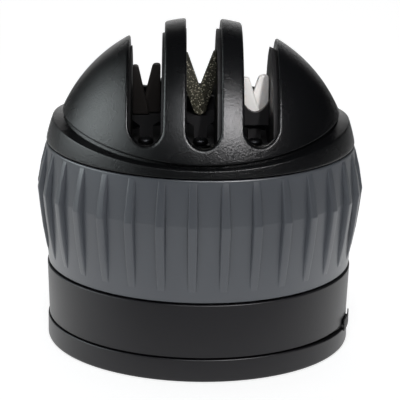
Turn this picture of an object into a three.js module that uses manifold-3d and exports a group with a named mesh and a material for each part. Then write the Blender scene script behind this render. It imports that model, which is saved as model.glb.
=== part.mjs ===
// Pull-through knife sharpener: a slotted dome with three sharpening stages on a twist grip ring
// and a suction foot. Millimetres, +Z up, origin at the centre of the foot's underside, front is -Y.
import * as THREE from 'three';
import { mergeVertices } from 'three/addons/utils/BufferGeometryUtils.js';
import Module from 'manifold-3d';

const wasm = await Module();
wasm.setup();

// Clearances
const fitGap = 0.3;
const runGap = 0.4;
const cutOverrun = 3;

// Counts of sides, rows and copies
const OUTER_SIDES = 48;
const INNER_SIDES = 24;
const SCREW_SIDES = 8;
const ARC_STEPS = 8;
const DOME_ROWS = 8;
const RIB_COUNT = 32;
const FOOT_SCREW_COUNT = 4;
const TOWER_SCREW_COUNT = 3;
const CAM_SCREW_COUNT = 3;
const CAM_LOBES = 2;
const CAM_RISE_STEPS = 6;

// Foot ring
const footHeight = 5.7;
const footRadius = 37.6;
const footWidth = 5.4;
const footEdgeRound = 1;
const footRecessDepth = 0.85;
const footRimWall = 1.1;

// Base housing
const seamGap = 0.35;
const baseHeight = 13.35;
const baseInset = 0.3;
const baseDraft = 0.5;
const baseWall = 2.2;
const baseDeck = 2.4;
const baseEdgeRound = 0.4;

// Suction cup
const cupFlangeInset = 1.4;
const cupFlangeThickness = 0.6;
const cupSkirtWall = 1.5;
const cupLipWidth = 3;
const cupMembrane = 1.7;
const cupRise = 1.4;
const cupBossRadius = 8.5;
const cupBossTop = 9;
const tabGap = 0.12;
const tabReach = 0.3;
const tabHeight = 3;
const tabWidthDegrees = 14;
const tabDegrees = 80;
const tabRimShare = 0.75;
const crescentDegrees = 50;

// Pull stud, its pin and its spring
const studRadius = 5.2;
const studNeckRadius = 3;
const studHeadRadius = 5;
const studHeadHeight = 1.9;
const studTopAbovePin = 2;
const liftTravel = 2.5;
const pinRadius = 1.5;
const springHeight = 5.6;
const springWall = 2.5;

// Guide tower
const towerWall = 3;
const towerFlangeWidth = 4.9;
const towerFlangeHeight = 2.2;
const towerSpigotDepth = 4.9;
const towerCap = 3;
const towerKeySide = 10;
const towerKeyHeight = 2.2;

// Cam ring
const camHubWall = 4;
const camFlangeRadius = 18;
const camFlangeHeight = 2.2;
const camHubHeight = 5;
const camStopHeight = 3.5;
const camClearBelow = 0.9;
const twistDegrees = 90;
const camRestDegrees = 13;
const camWallDegrees = 2;
const camStepDegrees = 16;

// Grip ring
const gripHeight = 30.2;
const gripInset = 0.3;
const gripCreaseProud = 1.7;
const gripTopProud = 0.5;
const sleeveWall = 1.9;
const creaseHeight = 19.2;
const ribStartHeight = 2.7;
const ribEndDrop = 0.6;
const ribProud = 1.2;
const ribCreaseWidth = 2.2;
const ribEndWidth = 1.5;
const ribFlank = 0.45;
const ribFirstDegrees = -2.9;
const coreWall = 1.9;
const coreWeb = 2;
const coreBossRadius = 3;
const coreBossHeight = 2.5;
const glideHeight = 1.2;
const glideWidth = 6;

// Head deck
const deckHeight = 2.2;
const deckDrop = 7.1;

// Dome cover and collar
const collarSeam = 0.4;
const domeInset = 0.8;
const domeShell = 2.2;
const domeCentreDrop = 7.5;
const domeGrooveDepth = 1;
const domeEdgeFrontRise = 2.5;
const domeEdgeSideRise = 4.9;
const collarProud = 1.6;
const collarLipWall = 0.6;
const collarLipFrontRise = 1.7;
const collarLipSideRise = 3.97;
const collarLedge = 0.8;
const collarSpigotWall = 6;
const collarLipRound = 0.4;
const domeBossRadius = 3;

// Slots
const slotPitchShare = 0.36463;
const slotShift = 0.28;
const stagePitchShare = 0.9723;
const slotHalfWidth = 4.1;
const slotTopHalfWidth = 4.3;
const slotFrontRise = 6;

// Stage carrier
const linerProud = 0.4;
const linerShift = 0.13;
const carrierShellGap = 0.3;
const carrierFloor = 1.5;
const carrierSideWall = 2;

// Sharpening stages
const stageFootThickness = 2.2;
const stageTabLength = 6.4;
const saddleHeight = 2.6;
const postHalfWidth = 1.6;
const backPlate = 1.5;
const backPlateRise = 3.6;
const plateThickness = 1.7;
const armThickness = 2.4;
const armWidth = 3.3;
const plateCorner = 1;
const plateCornerShare = 0.33;
const coarseTopAboveSlot = 12.6;
const coarseBottomAboveSlot = 0.4;
const coarseApexAboveSlot = 5;
const coarseHalfMouth = 1.8;
const coarseOffset = -0.34;
const mediumTopAboveSlot = 15.8;
const mediumBottomAboveSlot = 0.6;
const mediumApexAboveSlot = 7;
const mediumHalfMouth = 3.2;
const mediumOffset = -0.17;
const fineTopAboveSlot = 9.9;
const fineBottomAboveSlot = 0.2;
const fineApexAboveSlot = 4.1;
const fineHalfMouth = 1.6;
const fineOffset = -0.3;
const saddleRim = 1.8;
const saddleDip = 3;

// Screws
const screwRadius = 1.2;
const screwHeadRadius = 1.9;
const screwHeadHeight = 1.3;
const footScrewRadius = 0.9;
const footScrewHeadRadius = 1.5;
const footCounterbore = 2.6;
const footScrewReach = 9;
const headScrewHeadRadius = 2.6;
const headScrewReach = 6.4;
const towerScrewReach = 6;
const deckBoltRadius = 2.2;
const deckBoltHeadRadius = 4.2;
const washerRadius = 2.6;
const washerThickness = 0.5;
const footScrewFirstDegrees = 45;
const towerScrewFirstDegrees = 30;
const camScrewFirstDegrees = 90;
const headScrewDegrees = [120, 60, 240, -60];

// Radii worked out from the foot's
const footInnerRadius = footRadius - footWidth;
const baseBottomRadius = footRadius - baseInset;
const baseTopRadius = baseBottomRadius + baseDraft;
const cupFlangeRadius = footRadius - cupFlangeInset;
const gripBottomRadius = baseTopRadius - gripInset;
const gripCreaseRadius = gripBottomRadius + gripCreaseProud;
const gripTopRadius = gripBottomRadius + gripTopProud;
const gripInnerRadius = gripBottomRadius - sleeveWall;
const domeRadius = gripTopRadius - domeInset;
const slotPitch = footRadius * slotPitchShare;

// Heights worked out from the sizes above, from the foot upwards
const baseBottom = footHeight + seamGap;
const baseTop = baseBottom + baseHeight;
const deckUnder = baseTop - baseDeck;
const gripBottom = baseTop + runGap;
const gripTop = gripBottom + gripHeight;
const collarBottom = gripTop + collarSeam;
const domeCentre = collarBottom - domeCentreDrop;
const ledgeTop = collarBottom + collarLedge;
const domeBottom = ledgeTop + fitGap;
const headDeckBottom = collarBottom - deckDrop;
const headDeckTop = headDeckBottom + deckHeight;
const towerTop = headDeckBottom - fitGap;
const towerBottom = baseTop + fitGap;
const towerFlangeTop = towerBottom + towerFlangeHeight;
const towerBore = studRadius + runGap;
const towerRadius = towerBore + towerWall;
const towerFlangeRadius = towerRadius + towerFlangeWidth;
const towerScrewTop = towerFlangeTop + fitGap + screwHeadHeight;
const camBottom = towerScrewTop + camClearBelow;
const camFlangeTop = camBottom + camFlangeHeight;
const camLow = camBottom + camHubHeight;
const camHigh = camLow + liftTravel;
const camStop = camHigh + camStopHeight;
const camBore = towerRadius + runGap;
const camHubRadius = camBore + camHubWall;
const pinHeight = camLow + runGap + pinRadius;
const studTop = pinHeight + studTopAbovePin;
const springBottom = studTop + fitGap;
const springTop = springBottom + springHeight;
const towerBoreTop = springTop + fitGap;
const webBottom = camFlangeTop + fitGap;
const webTop = webBottom + coreWeb;
const coreRadius = gripInnerRadius - fitGap;
const coreBore = coreRadius - coreWall;
const coreBottom = gripBottom + fitGap + glideHeight;
const coreTop = gripTop - runGap;
const spigotRadius = coreBore - runGap;
const spigotBore = spigotRadius - collarSpigotWall;
const spigotBottom = headDeckTop + fitGap;
const carrierBottom = headDeckTop + fitGap;
const floorTop = carrierBottom + carrierFloor;
const stageBottom = floorTop + fitGap;
const stageFootTop = stageBottom + stageFootThickness;
const linerHalfWidth = slotHalfWidth - linerProud;
const stageHalfWidth = linerHalfWidth - fitGap;
const domeTop = domeCentre + domeRadius;
const slotBottom = collarBottom + slotFrontRise;
const coarseTop = slotBottom + coarseTopAboveSlot;
const coarseBottom = slotBottom + coarseBottomAboveSlot;
const coarseApex = slotBottom + coarseApexAboveSlot;
const mediumTop = slotBottom + mediumTopAboveSlot;
const mediumBottom = slotBottom + mediumBottomAboveSlot;
const mediumApex = slotBottom + mediumApexAboveSlot;
const fineTop = slotBottom + fineTopAboveSlot;
const fineBottom = slotBottom + fineBottomAboveSlot;
const fineApex = slotBottom + fineApexAboveSlot;
const headScrewCircle = (spigotRadius + spigotBore) / 2;
const footScrewCircle = (footInnerRadius + footRadius - footRimWall) / 2;
const towerScrewCircle = (towerRadius + towerFlangeRadius) / 2;
const camScrewCircle = camFlangeRadius - screwHeadRadius;

const degrees = (value) => value * Math.PI / 180;

// Finishes
const finish = (color, roughness, metalness) =>
  new THREE.MeshStandardMaterial({ color, roughness, metalness });
const glossBlack = finish(0x111214, 0.35, 0);
const satinBlack = finish(0x2a292c, 0.5, 0);
const darkGrey = finish(0x2f2e30, 0.6, 0);
const slateRubber = finish(0x59626b, 0.75, 0);
const blackRubber = finish(0x0d0d0e, 0.8, 0);
const whitePlastic = finish(0xd9d7d0, 0.5, 0);
const steel = finish(0x9a9ca0, 0.35, 1);
const carbide = finish(0x2b2523, 0.45, 0.6);
const diamond = finish(0x6d6547, 0.8, 0.4);
const ceramic = finish(0xf0ebe6, 0.5, 0);

// A closed solid from any closed geometry, with shared points merged and slivers dropped
function toSolid(geometry) {
  const bare = geometry.clone();
  bare.deleteAttribute('normal');
  bare.deleteAttribute('uv');
  const merged = mergeVertices(bare);
  const triangles = [];
  const index = merged.index.array;
  for (let i = 0; i < index.length; i += 3) {
    const [a, b, c] = [index[i], index[i + 1], index[i + 2]];
    if (a !== b && b !== c && c !== a) triangles.push(a, b, c);
  }
  return new wasm.Manifold(new wasm.Mesh({
    numProp: 3,
    vertProperties: new Float32Array(merged.attributes.position.array),
    triVerts: new Uint32Array(triangles),
  }));
}

function toGeometry(solid) {
  const mesh = solid.getMesh();
  const geometry = new THREE.BufferGeometry();
  geometry.setAttribute('position', new THREE.BufferAttribute(mesh.vertProperties, 3));
  geometry.setIndex(new THREE.BufferAttribute(mesh.triVerts, 1));
  geometry.computeVertexNormals();
  return geometry;
}

const join = (solids) => solids.reduce((whole, solid) => whole.add(solid));
const cut = (solid, tools) => tools.reduce((rest, tool) => rest.subtract(tool), solid);

// Azimuth is measured from the front (-Y) towards +X
const aroundZ = (radius, azimuth, z) =>
  new THREE.Vector3(radius * Math.sin(azimuth), -radius * Math.cos(azimuth), z);

// Turned solid: the profile is a list of [radius, height], closed or on the axis at both ends
function turned(profile, sides, closed = true) {
  const points = profile.map(([r, z]) => new THREE.Vector2(r, z));
  if (closed) points.push(points[0].clone());
  const geometry = new THREE.LatheGeometry(points, sides).rotateX(Math.PI / 2);
  return outward(geometry);
}

function signedVolume(geometry) {
  const at = geometry.attributes.position;
  const index = geometry.index.array;
  const [a, b, c] = [new THREE.Vector3(), new THREE.Vector3(), new THREE.Vector3()];
  let sum = 0;
  for (let i = 0; i < index.length; i += 3) {
    a.fromBufferAttribute(at, index[i]);
    b.fromBufferAttribute(at, index[i + 1]);
    c.fromBufferAttribute(at, index[i + 2]);
    sum += a.dot(b.cross(c)) / 6;
  }
  return sum;
}

// Faces turned to point out before the geometry becomes a solid
function outward(geometry) {
  if (signedVolume(geometry) < 0) geometry.setIndex([...geometry.index.array].reverse());
  return toSolid(geometry);
}

// Ring or cap whose section changes with azimuth: one column of points per azimuth
function swept(columns, closed = true) {
  const rows = columns[0].length;
  const positions = columns.flatMap((column) => column.flatMap((p) => [p.x, p.y, p.z]));
  const index = [];
  const rowSteps = closed ? rows : rows - 1;
  columns.forEach((_, i) => {
    const next = (i + 1) % columns.length;
    for (let j = 0; j < rowSteps; j += 1) {
      const up = (j + 1) % rows;
      const [a, b] = [i * rows + j, next * rows + j];
      const [c, d] = [next * rows + up, i * rows + up];
      index.push(a, b, c, a, c, d);
    }
  });
  const geometry = new THREE.BufferGeometry();
  geometry.setAttribute('position', new THREE.Float32BufferAttribute(positions, 3));
  geometry.setIndex(index);
  return outward(geometry);
}

const azimuths = (count) => Array.from({ length: count }, (_, k) => k * 2 * Math.PI / count);

// Upright cylinder between two heights, at a place on a circle
function post(radius, low, high, sides = SCREW_SIDES, circle = 0, azimuth = 0) {
  const at = aroundZ(circle, azimuth, (low + high) / 2);
  const geometry = new THREE.CylinderGeometry(radius, radius, high - low, sides).rotateX(Math.PI / 2);
  return toSolid(geometry.translate(at.x, at.y, at.z));
}

function block(lowX, highX, lowY, highY, lowZ, highZ) {
  const geometry = new THREE.BoxGeometry(highX - lowX, highY - lowY, highZ - lowZ);
  return toSolid(geometry.translate((lowX + highX) / 2, (lowY + highY) / 2, (lowZ + highZ) / 2));
}

// Plate standing in the XZ plane between two depths
function plate(shape, frontY, backY) {
  const geometry = new THREE.ExtrudeGeometry(shape, {
    depth: backY - frontY, bevelEnabled: false, curveSegments: ARC_STEPS, steps: 1,
  });
  return toSolid(geometry.rotateX(Math.PI / 2).translate(0, backY, 0));
}

const outline = (points) => new THREE.Shape(points.map(([x, z]) => new THREE.Vector2(x, z)));

function ball(radius, sides = OUTER_SIDES) {
  const steps = DOME_ROWS * 2;
  const arc = Array.from({ length: steps + 1 }, (_, k) => {
    const turn = -Math.PI / 2 + Math.PI * k / steps;
    const onAxis = k === 0 || k === steps;
    return [onAxis ? 0 : radius * Math.cos(turn), domeCentre + radius * Math.sin(turn)];
  });
  return turned(arc, sides, false);
}

const sphereReach = (radius, z) => Math.sqrt(radius ** 2 - (z - domeCentre) ** 2);

// Vertical screw with its head below (heads down) or above (heads up)
function screw(radius, headRadius, headLow, tip, circle, azimuth, headHeight = screwHeadHeight) {
  const headHigh = headLow + headHeight;
  const shank = tip > headLow
    ? post(radius, headHigh - headHeight / 2, tip, SCREW_SIDES, circle, azimuth)
    : post(radius, tip, headLow + headHeight / 2, SCREW_SIDES, circle, azimuth);
  return post(headRadius, headLow, headHigh, SCREW_SIDES, circle, azimuth).add(shank);
}

const model = new THREE.Group();
const gripGroup = new THREE.Group();
const studGroup = new THREE.Group();
model.add(gripGroup, studGroup);

function addPiece(name, solid, material, group = model) {
  const mesh = new THREE.Mesh(toGeometry(solid), material);
  mesh.name = name;
  group.add(mesh);
}

const ringPlaces = (count, first) =>
  Array.from({ length: count }, (_, k) => first + k * 2 * Math.PI / count);
const headPlaces = headScrewDegrees.map(degrees);
const footPlaces = ringPlaces(FOOT_SCREW_COUNT, degrees(footScrewFirstDegrees));
const towerPlaces = ringPlaces(TOWER_SCREW_COUNT, degrees(towerScrewFirstDegrees));
const camPlaces = ringPlaces(CAM_SCREW_COUNT, degrees(camScrewFirstDegrees));

// Bump of height 1 that falls to nothing at half its width
function bump(azimuth, centreDegrees, widthDegrees) {
  const fromFoot = azimuth - degrees(centreDegrees) + Math.PI;
  const off = THREE.MathUtils.euclideanModulo(fromFoot, 2 * Math.PI) - Math.PI;
  const part = Math.abs(off) / degrees(widthDegrees);
  return part < 1 ? Math.cos(part * Math.PI / 2) ** 2 : 0;
}

// Foot ring, its top rim dipping on the right where the suction cup's flange shows
function footRing() {
  const rimInner = footRadius - footRimWall;
  const recess = footHeight - footRecessDepth;
  const round = footEdgeRound * (1 - Math.SQRT1_2);
  const columns = azimuths(OUTER_SIDES).map((azimuth) => {
    const rim = footHeight - footRecessDepth * bump(azimuth, tabDegrees, crescentDegrees);
    return [
      [footInnerRadius, 0], [footRadius - footEdgeRound, 0], [footRadius - round, round],
      [footRadius, footEdgeRound], [footRadius, rim], [rimInner, rim],
      [rimInner, recess - fitGap / 2], [footInnerRadius, recess - fitGap / 2],
    ].map(([r, z]) => aroundZ(r, azimuth, z));
  });
  const holes = footPlaces.flatMap((at) => [
    post(footScrewHeadRadius + fitGap, -cutOverrun, footCounterbore, SCREW_SIDES, footScrewCircle, at),
    post(footScrewRadius + fitGap, 0, footHeight + cutOverrun, SCREW_SIDES, footScrewCircle, at),
  ]);
  return cut(swept(columns), holes);
}

function baseHousing() {
  const bottomInner = baseBottomRadius - baseWall;
  const topInner = baseTopRadius - baseWall;
  const shell = turned([
    [bottomInner, baseBottom], [baseBottomRadius, baseBottom], [baseTopRadius, baseTop - baseEdgeRound],
    [baseTopRadius - baseEdgeRound, baseTop], [towerRadius - fitGap, baseTop],
    [towerRadius - fitGap, deckUnder], [topInner, deckUnder],
  ], OUTER_SIDES);
  const bossRadius = footRadius - footScrewCircle - runGap;
  const bosses = footPlaces.map((at) =>
    post(bossRadius, baseBottom, deckUnder + baseDeck / 2, SCREW_SIDES, footScrewCircle, at));
  const towerBosses = towerPlaces.map((at) =>
    post(coreBossRadius, deckUnder - baseDeck, deckUnder + baseDeck / 2, SCREW_SIDES,
      towerScrewCircle, at));
  const holes = footPlaces.map((at) =>
    post(footScrewRadius + fitGap, 0, footCounterbore + footScrewReach + fitGap, SCREW_SIDES,
      footScrewCircle, at));
  const towerHoles = towerPlaces.map((at) =>
    post(screwRadius + fitGap, deckUnder - baseDeck - cutOverrun, baseTop + cutOverrun, SCREW_SIDES,
      towerScrewCircle, at));
  const spigotHole = post(towerRadius, 0, baseTop + cutOverrun, INNER_SIDES);
  return cut(join([shell, ...bosses, ...towerBosses]), [...holes, ...towerHoles, spigotHole]);
}

// Rubber cup: clamped flange, skirt, lip on the worktop, membrane and the boss round the stud's head
function suctionCup() {
  const flangeTop = baseBottom - fitGap;
  const flangeBottom = flangeTop - cupFlangeThickness;
  const skirt = footInnerRadius - fitGap;
  const skirtInner = skirt - cupSkirtWall;
  const cavity = studHeadRadius + fitGap;
  const neck = studNeckRadius + fitGap;
  const headLow = cupBossTop / 2 - studHeadHeight / 2 + cupRise / 2;
  const headHigh = headLow + studHeadHeight + fitGap;
  const columns = azimuths(OUTER_SIDES).map((azimuth) => {
    const lean = bump(azimuth, tabDegrees, crescentDegrees);
    const shown = Math.max(0, (lean - tabRimShare) / (1 - tabRimShare));
    const reach = cupFlangeRadius + (baseBottomRadius - cupFlangeRadius) * shown;
    return [
      [0, cupRise], [skirt - cupLipWidth * 2, fitGap + cupRise / 2], [skirt - cupLipWidth, fitGap],
      [skirt, fitGap], [skirt, flangeBottom], [reach, flangeBottom], [reach, flangeTop],
      [skirtInner, flangeTop], [skirtInner, fitGap + cupMembrane], [cupBossRadius, cupRise + cupMembrane],
      [cupBossRadius, cupBossTop], [neck, cupBossTop], [neck, headHigh], [cavity, headHigh],
      [cavity, headLow], [0, headLow],
    ].map(([r, z]) => aroundZ(r, azimuth, z));
  });
  const tabInner = footRadius + tabGap;
  const tabAt = degrees(tabDegrees);
  const tabHalf = degrees(tabWidthDegrees) / 2;
  const sweepSteps = Array.from({ length: ARC_STEPS + 1 }, (_, k) =>
    tabAt - tabHalf + 2 * tabHalf * k / ARC_STEPS);
  const tabOutline = new THREE.Shape([
    ...sweepSteps.map((at) => new THREE.Vector2((tabInner + tabReach) * Math.sin(at),
      -(tabInner + tabReach) * Math.cos(at))),
    ...sweepSteps.reverse().map((at) => new THREE.Vector2(tabInner * Math.sin(at), -tabInner * Math.cos(at))),
  ]);
  const stemOutline = new THREE.Shape([
    ...sweepSteps.map((at) => new THREE.Vector2((cupFlangeRadius - cupLipWidth) * Math.sin(at),
      -(cupFlangeRadius - cupLipWidth) * Math.cos(at))),
    ...sweepSteps.reverse().map((at) => new THREE.Vector2((tabInner + tabReach / 2) * Math.sin(at),
      -(tabInner + tabReach / 2) * Math.cos(at))),
  ]);
  const rise = (shape, low, height) =>
    toSolid(new THREE.ExtrudeGeometry(shape, { depth: height, bevelEnabled: false }).translate(0, 0, low));
  const tab = rise(tabOutline, flangeTop - tabHeight / 2, tabHeight);
  const stem = rise(stemOutline, flangeBottom, cupFlangeThickness);
  const holes = footPlaces.map((at) =>
    post(footScrewRadius + fitGap, 0, baseBottom + cutOverrun, SCREW_SIDES, footScrewCircle, at));
  return cut(join([swept(columns, false), stem, tab]), holes);
}

const studHeadLow = cupBossTop / 2 - studHeadHeight / 2 + cupRise / 2 + fitGap / 2;

function pullStud() {
  const headHigh = studHeadLow + studHeadHeight;
  const body = turned([
    [0, studHeadLow], [studHeadRadius, studHeadLow], [studHeadRadius, headHigh],
    [studNeckRadius, headHigh], [studNeckRadius, cupBossTop + fitGap],
    [studRadius, cupBossTop + fitGap], [studRadius, studTop], [0, studTop],
  ], INNER_SIDES, false);
  return cut(body, [crossPin(pinRadius + fitGap, studRadius + cutOverrun)]);
}

function crossPin(radius, halfLength) {
  const geometry = new THREE.CylinderGeometry(radius, radius, 2 * halfLength, SCREW_SIDES * 2);
  return toSolid(geometry.rotateZ(Math.PI / 2).translate(0, 0, pinHeight));
}

function guideTower() {
  const body = turned([
    [towerBore, towerBottom - towerSpigotDepth], [towerRadius - fitGap, towerBottom - towerSpigotDepth],
    [towerRadius - fitGap, towerBottom], [towerFlangeRadius, towerBottom],
    [towerFlangeRadius, towerFlangeTop], [towerRadius, towerFlangeTop], [towerRadius, towerTop],
    [0, towerTop], [0, towerBoreTop], [towerBore, towerBoreTop],
  ], INNER_SIDES);
  const half = towerKeySide / 2;
  const key = block(-half, half, -half, half, towerTop - towerCap / 2, towerTop + towerKeyHeight);
  const slotHalf = pinRadius + runGap;
  const pinSlot = block(-towerRadius - cutOverrun, towerRadius + cutOverrun, -slotHalf, slotHalf,
    pinHeight - slotHalf, pinHeight + liftTravel + slotHalf);
  const boltHole = post(deckBoltRadius + fitGap, springTop, towerTop + towerKeyHeight + cutOverrun);
  const screwHoles = towerPlaces.map((at) =>
    post(screwRadius + fitGap, baseTop, towerFlangeTop + cutOverrun, SCREW_SIDES, towerScrewCircle, at));
  return cut(body.add(key), [pinSlot, boltHole, ...screwHoles]);
}

// Cam: a low rest, a rise through a quarter turn, a high rest and a stop wall, twice round
function camRing() {
  const rise = Array.from({ length: CAM_RISE_STEPS + 1 }, (_, k) =>
    [twistDegrees * k / CAM_RISE_STEPS, camLow + liftTravel * k / CAM_RISE_STEPS]);
  const wallStart = twistDegrees + camRestDegrees + camWallDegrees;
  const wallEnd = 360 / CAM_LOBES - camRestDegrees - camWallDegrees;
  const levels = [
    [-camRestDegrees, camLow], ...rise, [twistDegrees + camRestDegrees, camHigh],
    [wallStart, camStop], [wallEnd, camStop],
  ];
  const columns = Array.from({ length: CAM_LOBES }, (_, n) => levels.map(([at, z]) => {
    const azimuth = degrees(at) + Math.PI / 2 + n * 2 * Math.PI / CAM_LOBES;
    return [
      [camBore, camBottom], [camFlangeRadius, camBottom], [camFlangeRadius, camFlangeTop],
      [camHubRadius, camFlangeTop], [camHubRadius, z], [camBore, z],
    ].map(([r, height]) => aroundZ(r, azimuth, height));
  })).flat();
  const fine = refine(columns);
  const holes = camPlaces.map((at) =>
    post(screwRadius + fitGap, camBottom - cutOverrun, camFlangeTop + cutOverrun, SCREW_SIDES,
      camScrewCircle, at));
  return cut(swept(fine), holes);
}

// Extra columns between columns that stand far apart, so that round walls stay round
function refine(columns) {
  const largest = degrees(camStepDegrees);
  const turnOf = (point) => Math.atan2(point.x, -point.y);
  return columns.flatMap((column, i) => {
    const next = columns[(i + 1) % columns.length];
    const from = turnOf(column[0]);
    const span = THREE.MathUtils.euclideanModulo(turnOf(next[0]) - from, 2 * Math.PI);
    const parts = Math.ceil(span / largest);
    return Array.from({ length: parts }, (_, k) => column.map((point, j) => {
      const share = k / parts;
      const radius = Math.hypot(point.x, point.y);
      return aroundZ(radius, from + span * share, point.z + (next[j].z - point.z) * share);
    }));
  });
}

function gripCore() {
  const body = turned([
    [coreBore, coreBottom], [coreRadius, coreBottom], [coreRadius, coreTop], [coreBore, coreTop],
    [coreBore, webTop], [camHubRadius + runGap, webTop], [camHubRadius + runGap, webBottom],
    [coreBore, webBottom],
  ], OUTER_SIDES);
  const bosses = camPlaces.map((at) =>
    post(coreBossRadius, webBottom + coreWeb / 2, webTop + coreBossHeight, SCREW_SIDES,
      camScrewCircle + coreBossRadius / 2, at));
  const hubClear = post(camHubRadius + runGap, webBottom - cutOverrun, webTop + coreBossHeight + cutOverrun,
    INNER_SIDES);
  const holes = camPlaces.map((at) =>
    post(screwRadius + fitGap, webBottom - cutOverrun, webTop + coreBossHeight + cutOverrun, SCREW_SIDES,
      camScrewCircle, at));
  return cut(join([body, ...bosses]), [hubClear, ...holes]);
}

// Soft sleeve: two cones that meet at a crease, with wedge ribs that are widest and proudest there
function gripSleeve() {
  const crease = gripBottom + creaseHeight;
  const ribLow = gripBottom + ribStartHeight;
  const ribHigh = gripTop - ribEndDrop;
  const baseRadius = (z) => (z < crease
    ? THREE.MathUtils.mapLinear(z, gripBottom, crease, gripBottomRadius, gripCreaseRadius)
    : THREE.MathUtils.mapLinear(z, crease, gripTop, gripCreaseRadius, gripTopRadius));
  const pitch = 2 * Math.PI / RIB_COUNT;
  const rows = [[gripBottom, 0], [ribLow, 0], [crease, 1], [ribHigh, 0], [gripTop, 0]];
  const column = (centre, side, top) => [
    aroundZ(gripInnerRadius, centre, gripTop), aroundZ(gripInnerRadius, centre, gripBottom),
    ...rows.map(([z, rise]) => {
      const halfWidth = THREE.MathUtils.lerp(ribEndWidth, ribCreaseWidth, rise) / 2 + (top ? 0 : ribFlank);
      const radius = baseRadius(z);
      const proud = top ? ribProud * rise : 0;
      return aroundZ(radius + proud, centre + side * halfWidth / radius, z);
    }),
  ];
  const columns = Array.from({ length: RIB_COUNT }, (_, k) => {
    const centre = degrees(ribFirstDegrees) + k * pitch;
    return [
      column(centre, -1, false), column(centre, -1, true), column(centre, 1, true),
      column(centre, 1, false), column(centre + pitch / 2, 0, false),
    ];
  }).flat();
  return swept(spreadInner(columns, 2));
}

// Inner wall points spread evenly round the ring, one for each outer column
function spreadInner(columns, innerCount) {
  const first = degrees(ribFirstDegrees);
  const centreColumn = 1.5;
  return columns.map((column, i) => {
    const azimuth = first + (i - centreColumn) * 2 * Math.PI / columns.length;
    return column.map((point, j) => (j < innerCount
      ? aroundZ(Math.hypot(point.x, point.y), azimuth, point.z) : point));
  });
}

function headDeck() {
  const half = towerKeySide / 2 + fitGap;
  const disc = turned([
    [deckBoltRadius, headDeckBottom], [spigotRadius, headDeckBottom], [spigotRadius, headDeckTop],
    [deckBoltRadius, headDeckTop],
  ], OUTER_SIDES);
  const keyHole = block(-half, half, -half, half, headDeckBottom - cutOverrun, headDeckTop + cutOverrun);
  const holes = headPlaces.map((at) =>
    post(screwRadius + fitGap, headDeckBottom - cutOverrun, headDeckTop + cutOverrun, SCREW_SIDES,
      headScrewCircle, at));
  return cut(disc, [keyHole, ...holes, ...carrierScrewPlaces.map(([x, y]) =>
    post(screwRadius + fitGap, headDeckBottom - cutOverrun, headDeckTop + cutOverrun)
      .translate([x, y, 0]))]);
}

const carrierScrewPlaces = [[slotPitch / 2, slotPitch], [-slotPitch / 2, -slotPitch]];

// Collar: its lip climbs towards the sides, concentric with the dome that it wraps
function collarRing() {
  const outer = domeRadius + collarProud;
  const inner = outer - collarLipWall;
  const columns = azimuths(OUTER_SIDES).map((azimuth) => {
    const lip = collarBottom + collarLipFrontRise + collarLipSideRise * Math.sin(azimuth) ** 2;
    const middle = (collarBottom + lip) / 2;
    return [
      [sphereReach(outer, collarBottom), collarBottom], [sphereReach(outer, middle), middle],
      [sphereReach(outer, lip - collarLipRound), lip - collarLipRound],
      [sphereReach(outer, lip) - collarLipRound, lip], [sphereReach(inner, lip), lip],
      [sphereReach(inner, ledgeTop), ledgeTop], [spigotBore, ledgeTop], [spigotBore, spigotBottom],
      [spigotRadius, spigotBottom], [spigotRadius, collarBottom],
    ].map(([r, z]) => aroundZ(r, azimuth, z));
  });
  const holes = headPlaces.map((at) =>
    post(screwRadius + fitGap, spigotBottom - cutOverrun, ledgeTop + cutOverrun, SCREW_SIDES,
      headScrewCircle, at));
  return cut(swept(columns), holes);
}

// Slot cutter with a round bottom, slightly wider at the top, running front to back
function slotCutter(centre) {
  const floor = slotBottom + slotHalfWidth;
  const shape = new THREE.Shape();
  shape.moveTo(centre - slotTopHalfWidth, domeTop + cutOverrun);
  shape.lineTo(centre - slotHalfWidth, floor);
  shape.absarc(centre, floor, slotHalfWidth, Math.PI, 2 * Math.PI, false);
  shape.lineTo(centre + slotTopHalfWidth, domeTop + cutOverrun);
  shape.closePath();
  return plate(shape, -domeRadius - cutOverrun, domeRadius + cutOverrun);
}

const stagePitch = slotPitch * stagePitchShare;
const slotCentres = [-slotPitch, 0, slotPitch].map((x) => x + slotShift);
const stageCentres = [-stagePitch, 0, stagePitch].map((x) => x - linerShift);

function domeCover() {
  const inner = domeRadius - domeShell;
  const recessed = domeRadius - domeGrooveDepth;
  const arc = (radius, low, k, steps) => {
    const start = Math.asin((low - domeCentre) / radius);
    const turn = start + (Math.PI / 2 - start) * k / steps;
    return [k === steps ? 0 : radius * Math.cos(turn), domeCentre + radius * Math.sin(turn)];
  };
  const columns = azimuths(OUTER_SIDES).map((azimuth) => {
    const edge = collarBottom + domeEdgeFrontRise + domeEdgeSideRise * Math.sin(azimuth) ** 2;
    const outerArc = Array.from({ length: DOME_ROWS + 1 }, (_, k) => arc(domeRadius, edge, k, DOME_ROWS));
    const innerArc = Array.from({ length: DOME_ROWS }, (_, k) => arc(inner, domeBottom, k, DOME_ROWS - 1));
    return [
      ...innerArc.reverse(), [sphereReach(recessed, domeBottom), domeBottom],
      [sphereReach(recessed, edge), edge], ...outerArc,
    ].map(([r, z]) => aroundZ(r, azimuth, z));
  });
  const bosses = headPlaces.map((at) =>
    post(domeBossRadius, domeBottom, domeTop, SCREW_SIDES, headScrewCircle, at)
      .intersect(ball(inner + fitGap)));
  const holes = headPlaces.map((at) =>
    post(screwRadius + fitGap, domeBottom - cutOverrun, domeBottom + headScrewReach + fitGap, SCREW_SIDES,
      headScrewCircle, at));
  return cut(join([swept(columns, false), ...bosses]), [...slotCentres.map(slotCutter), ...holes]);
}

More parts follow.
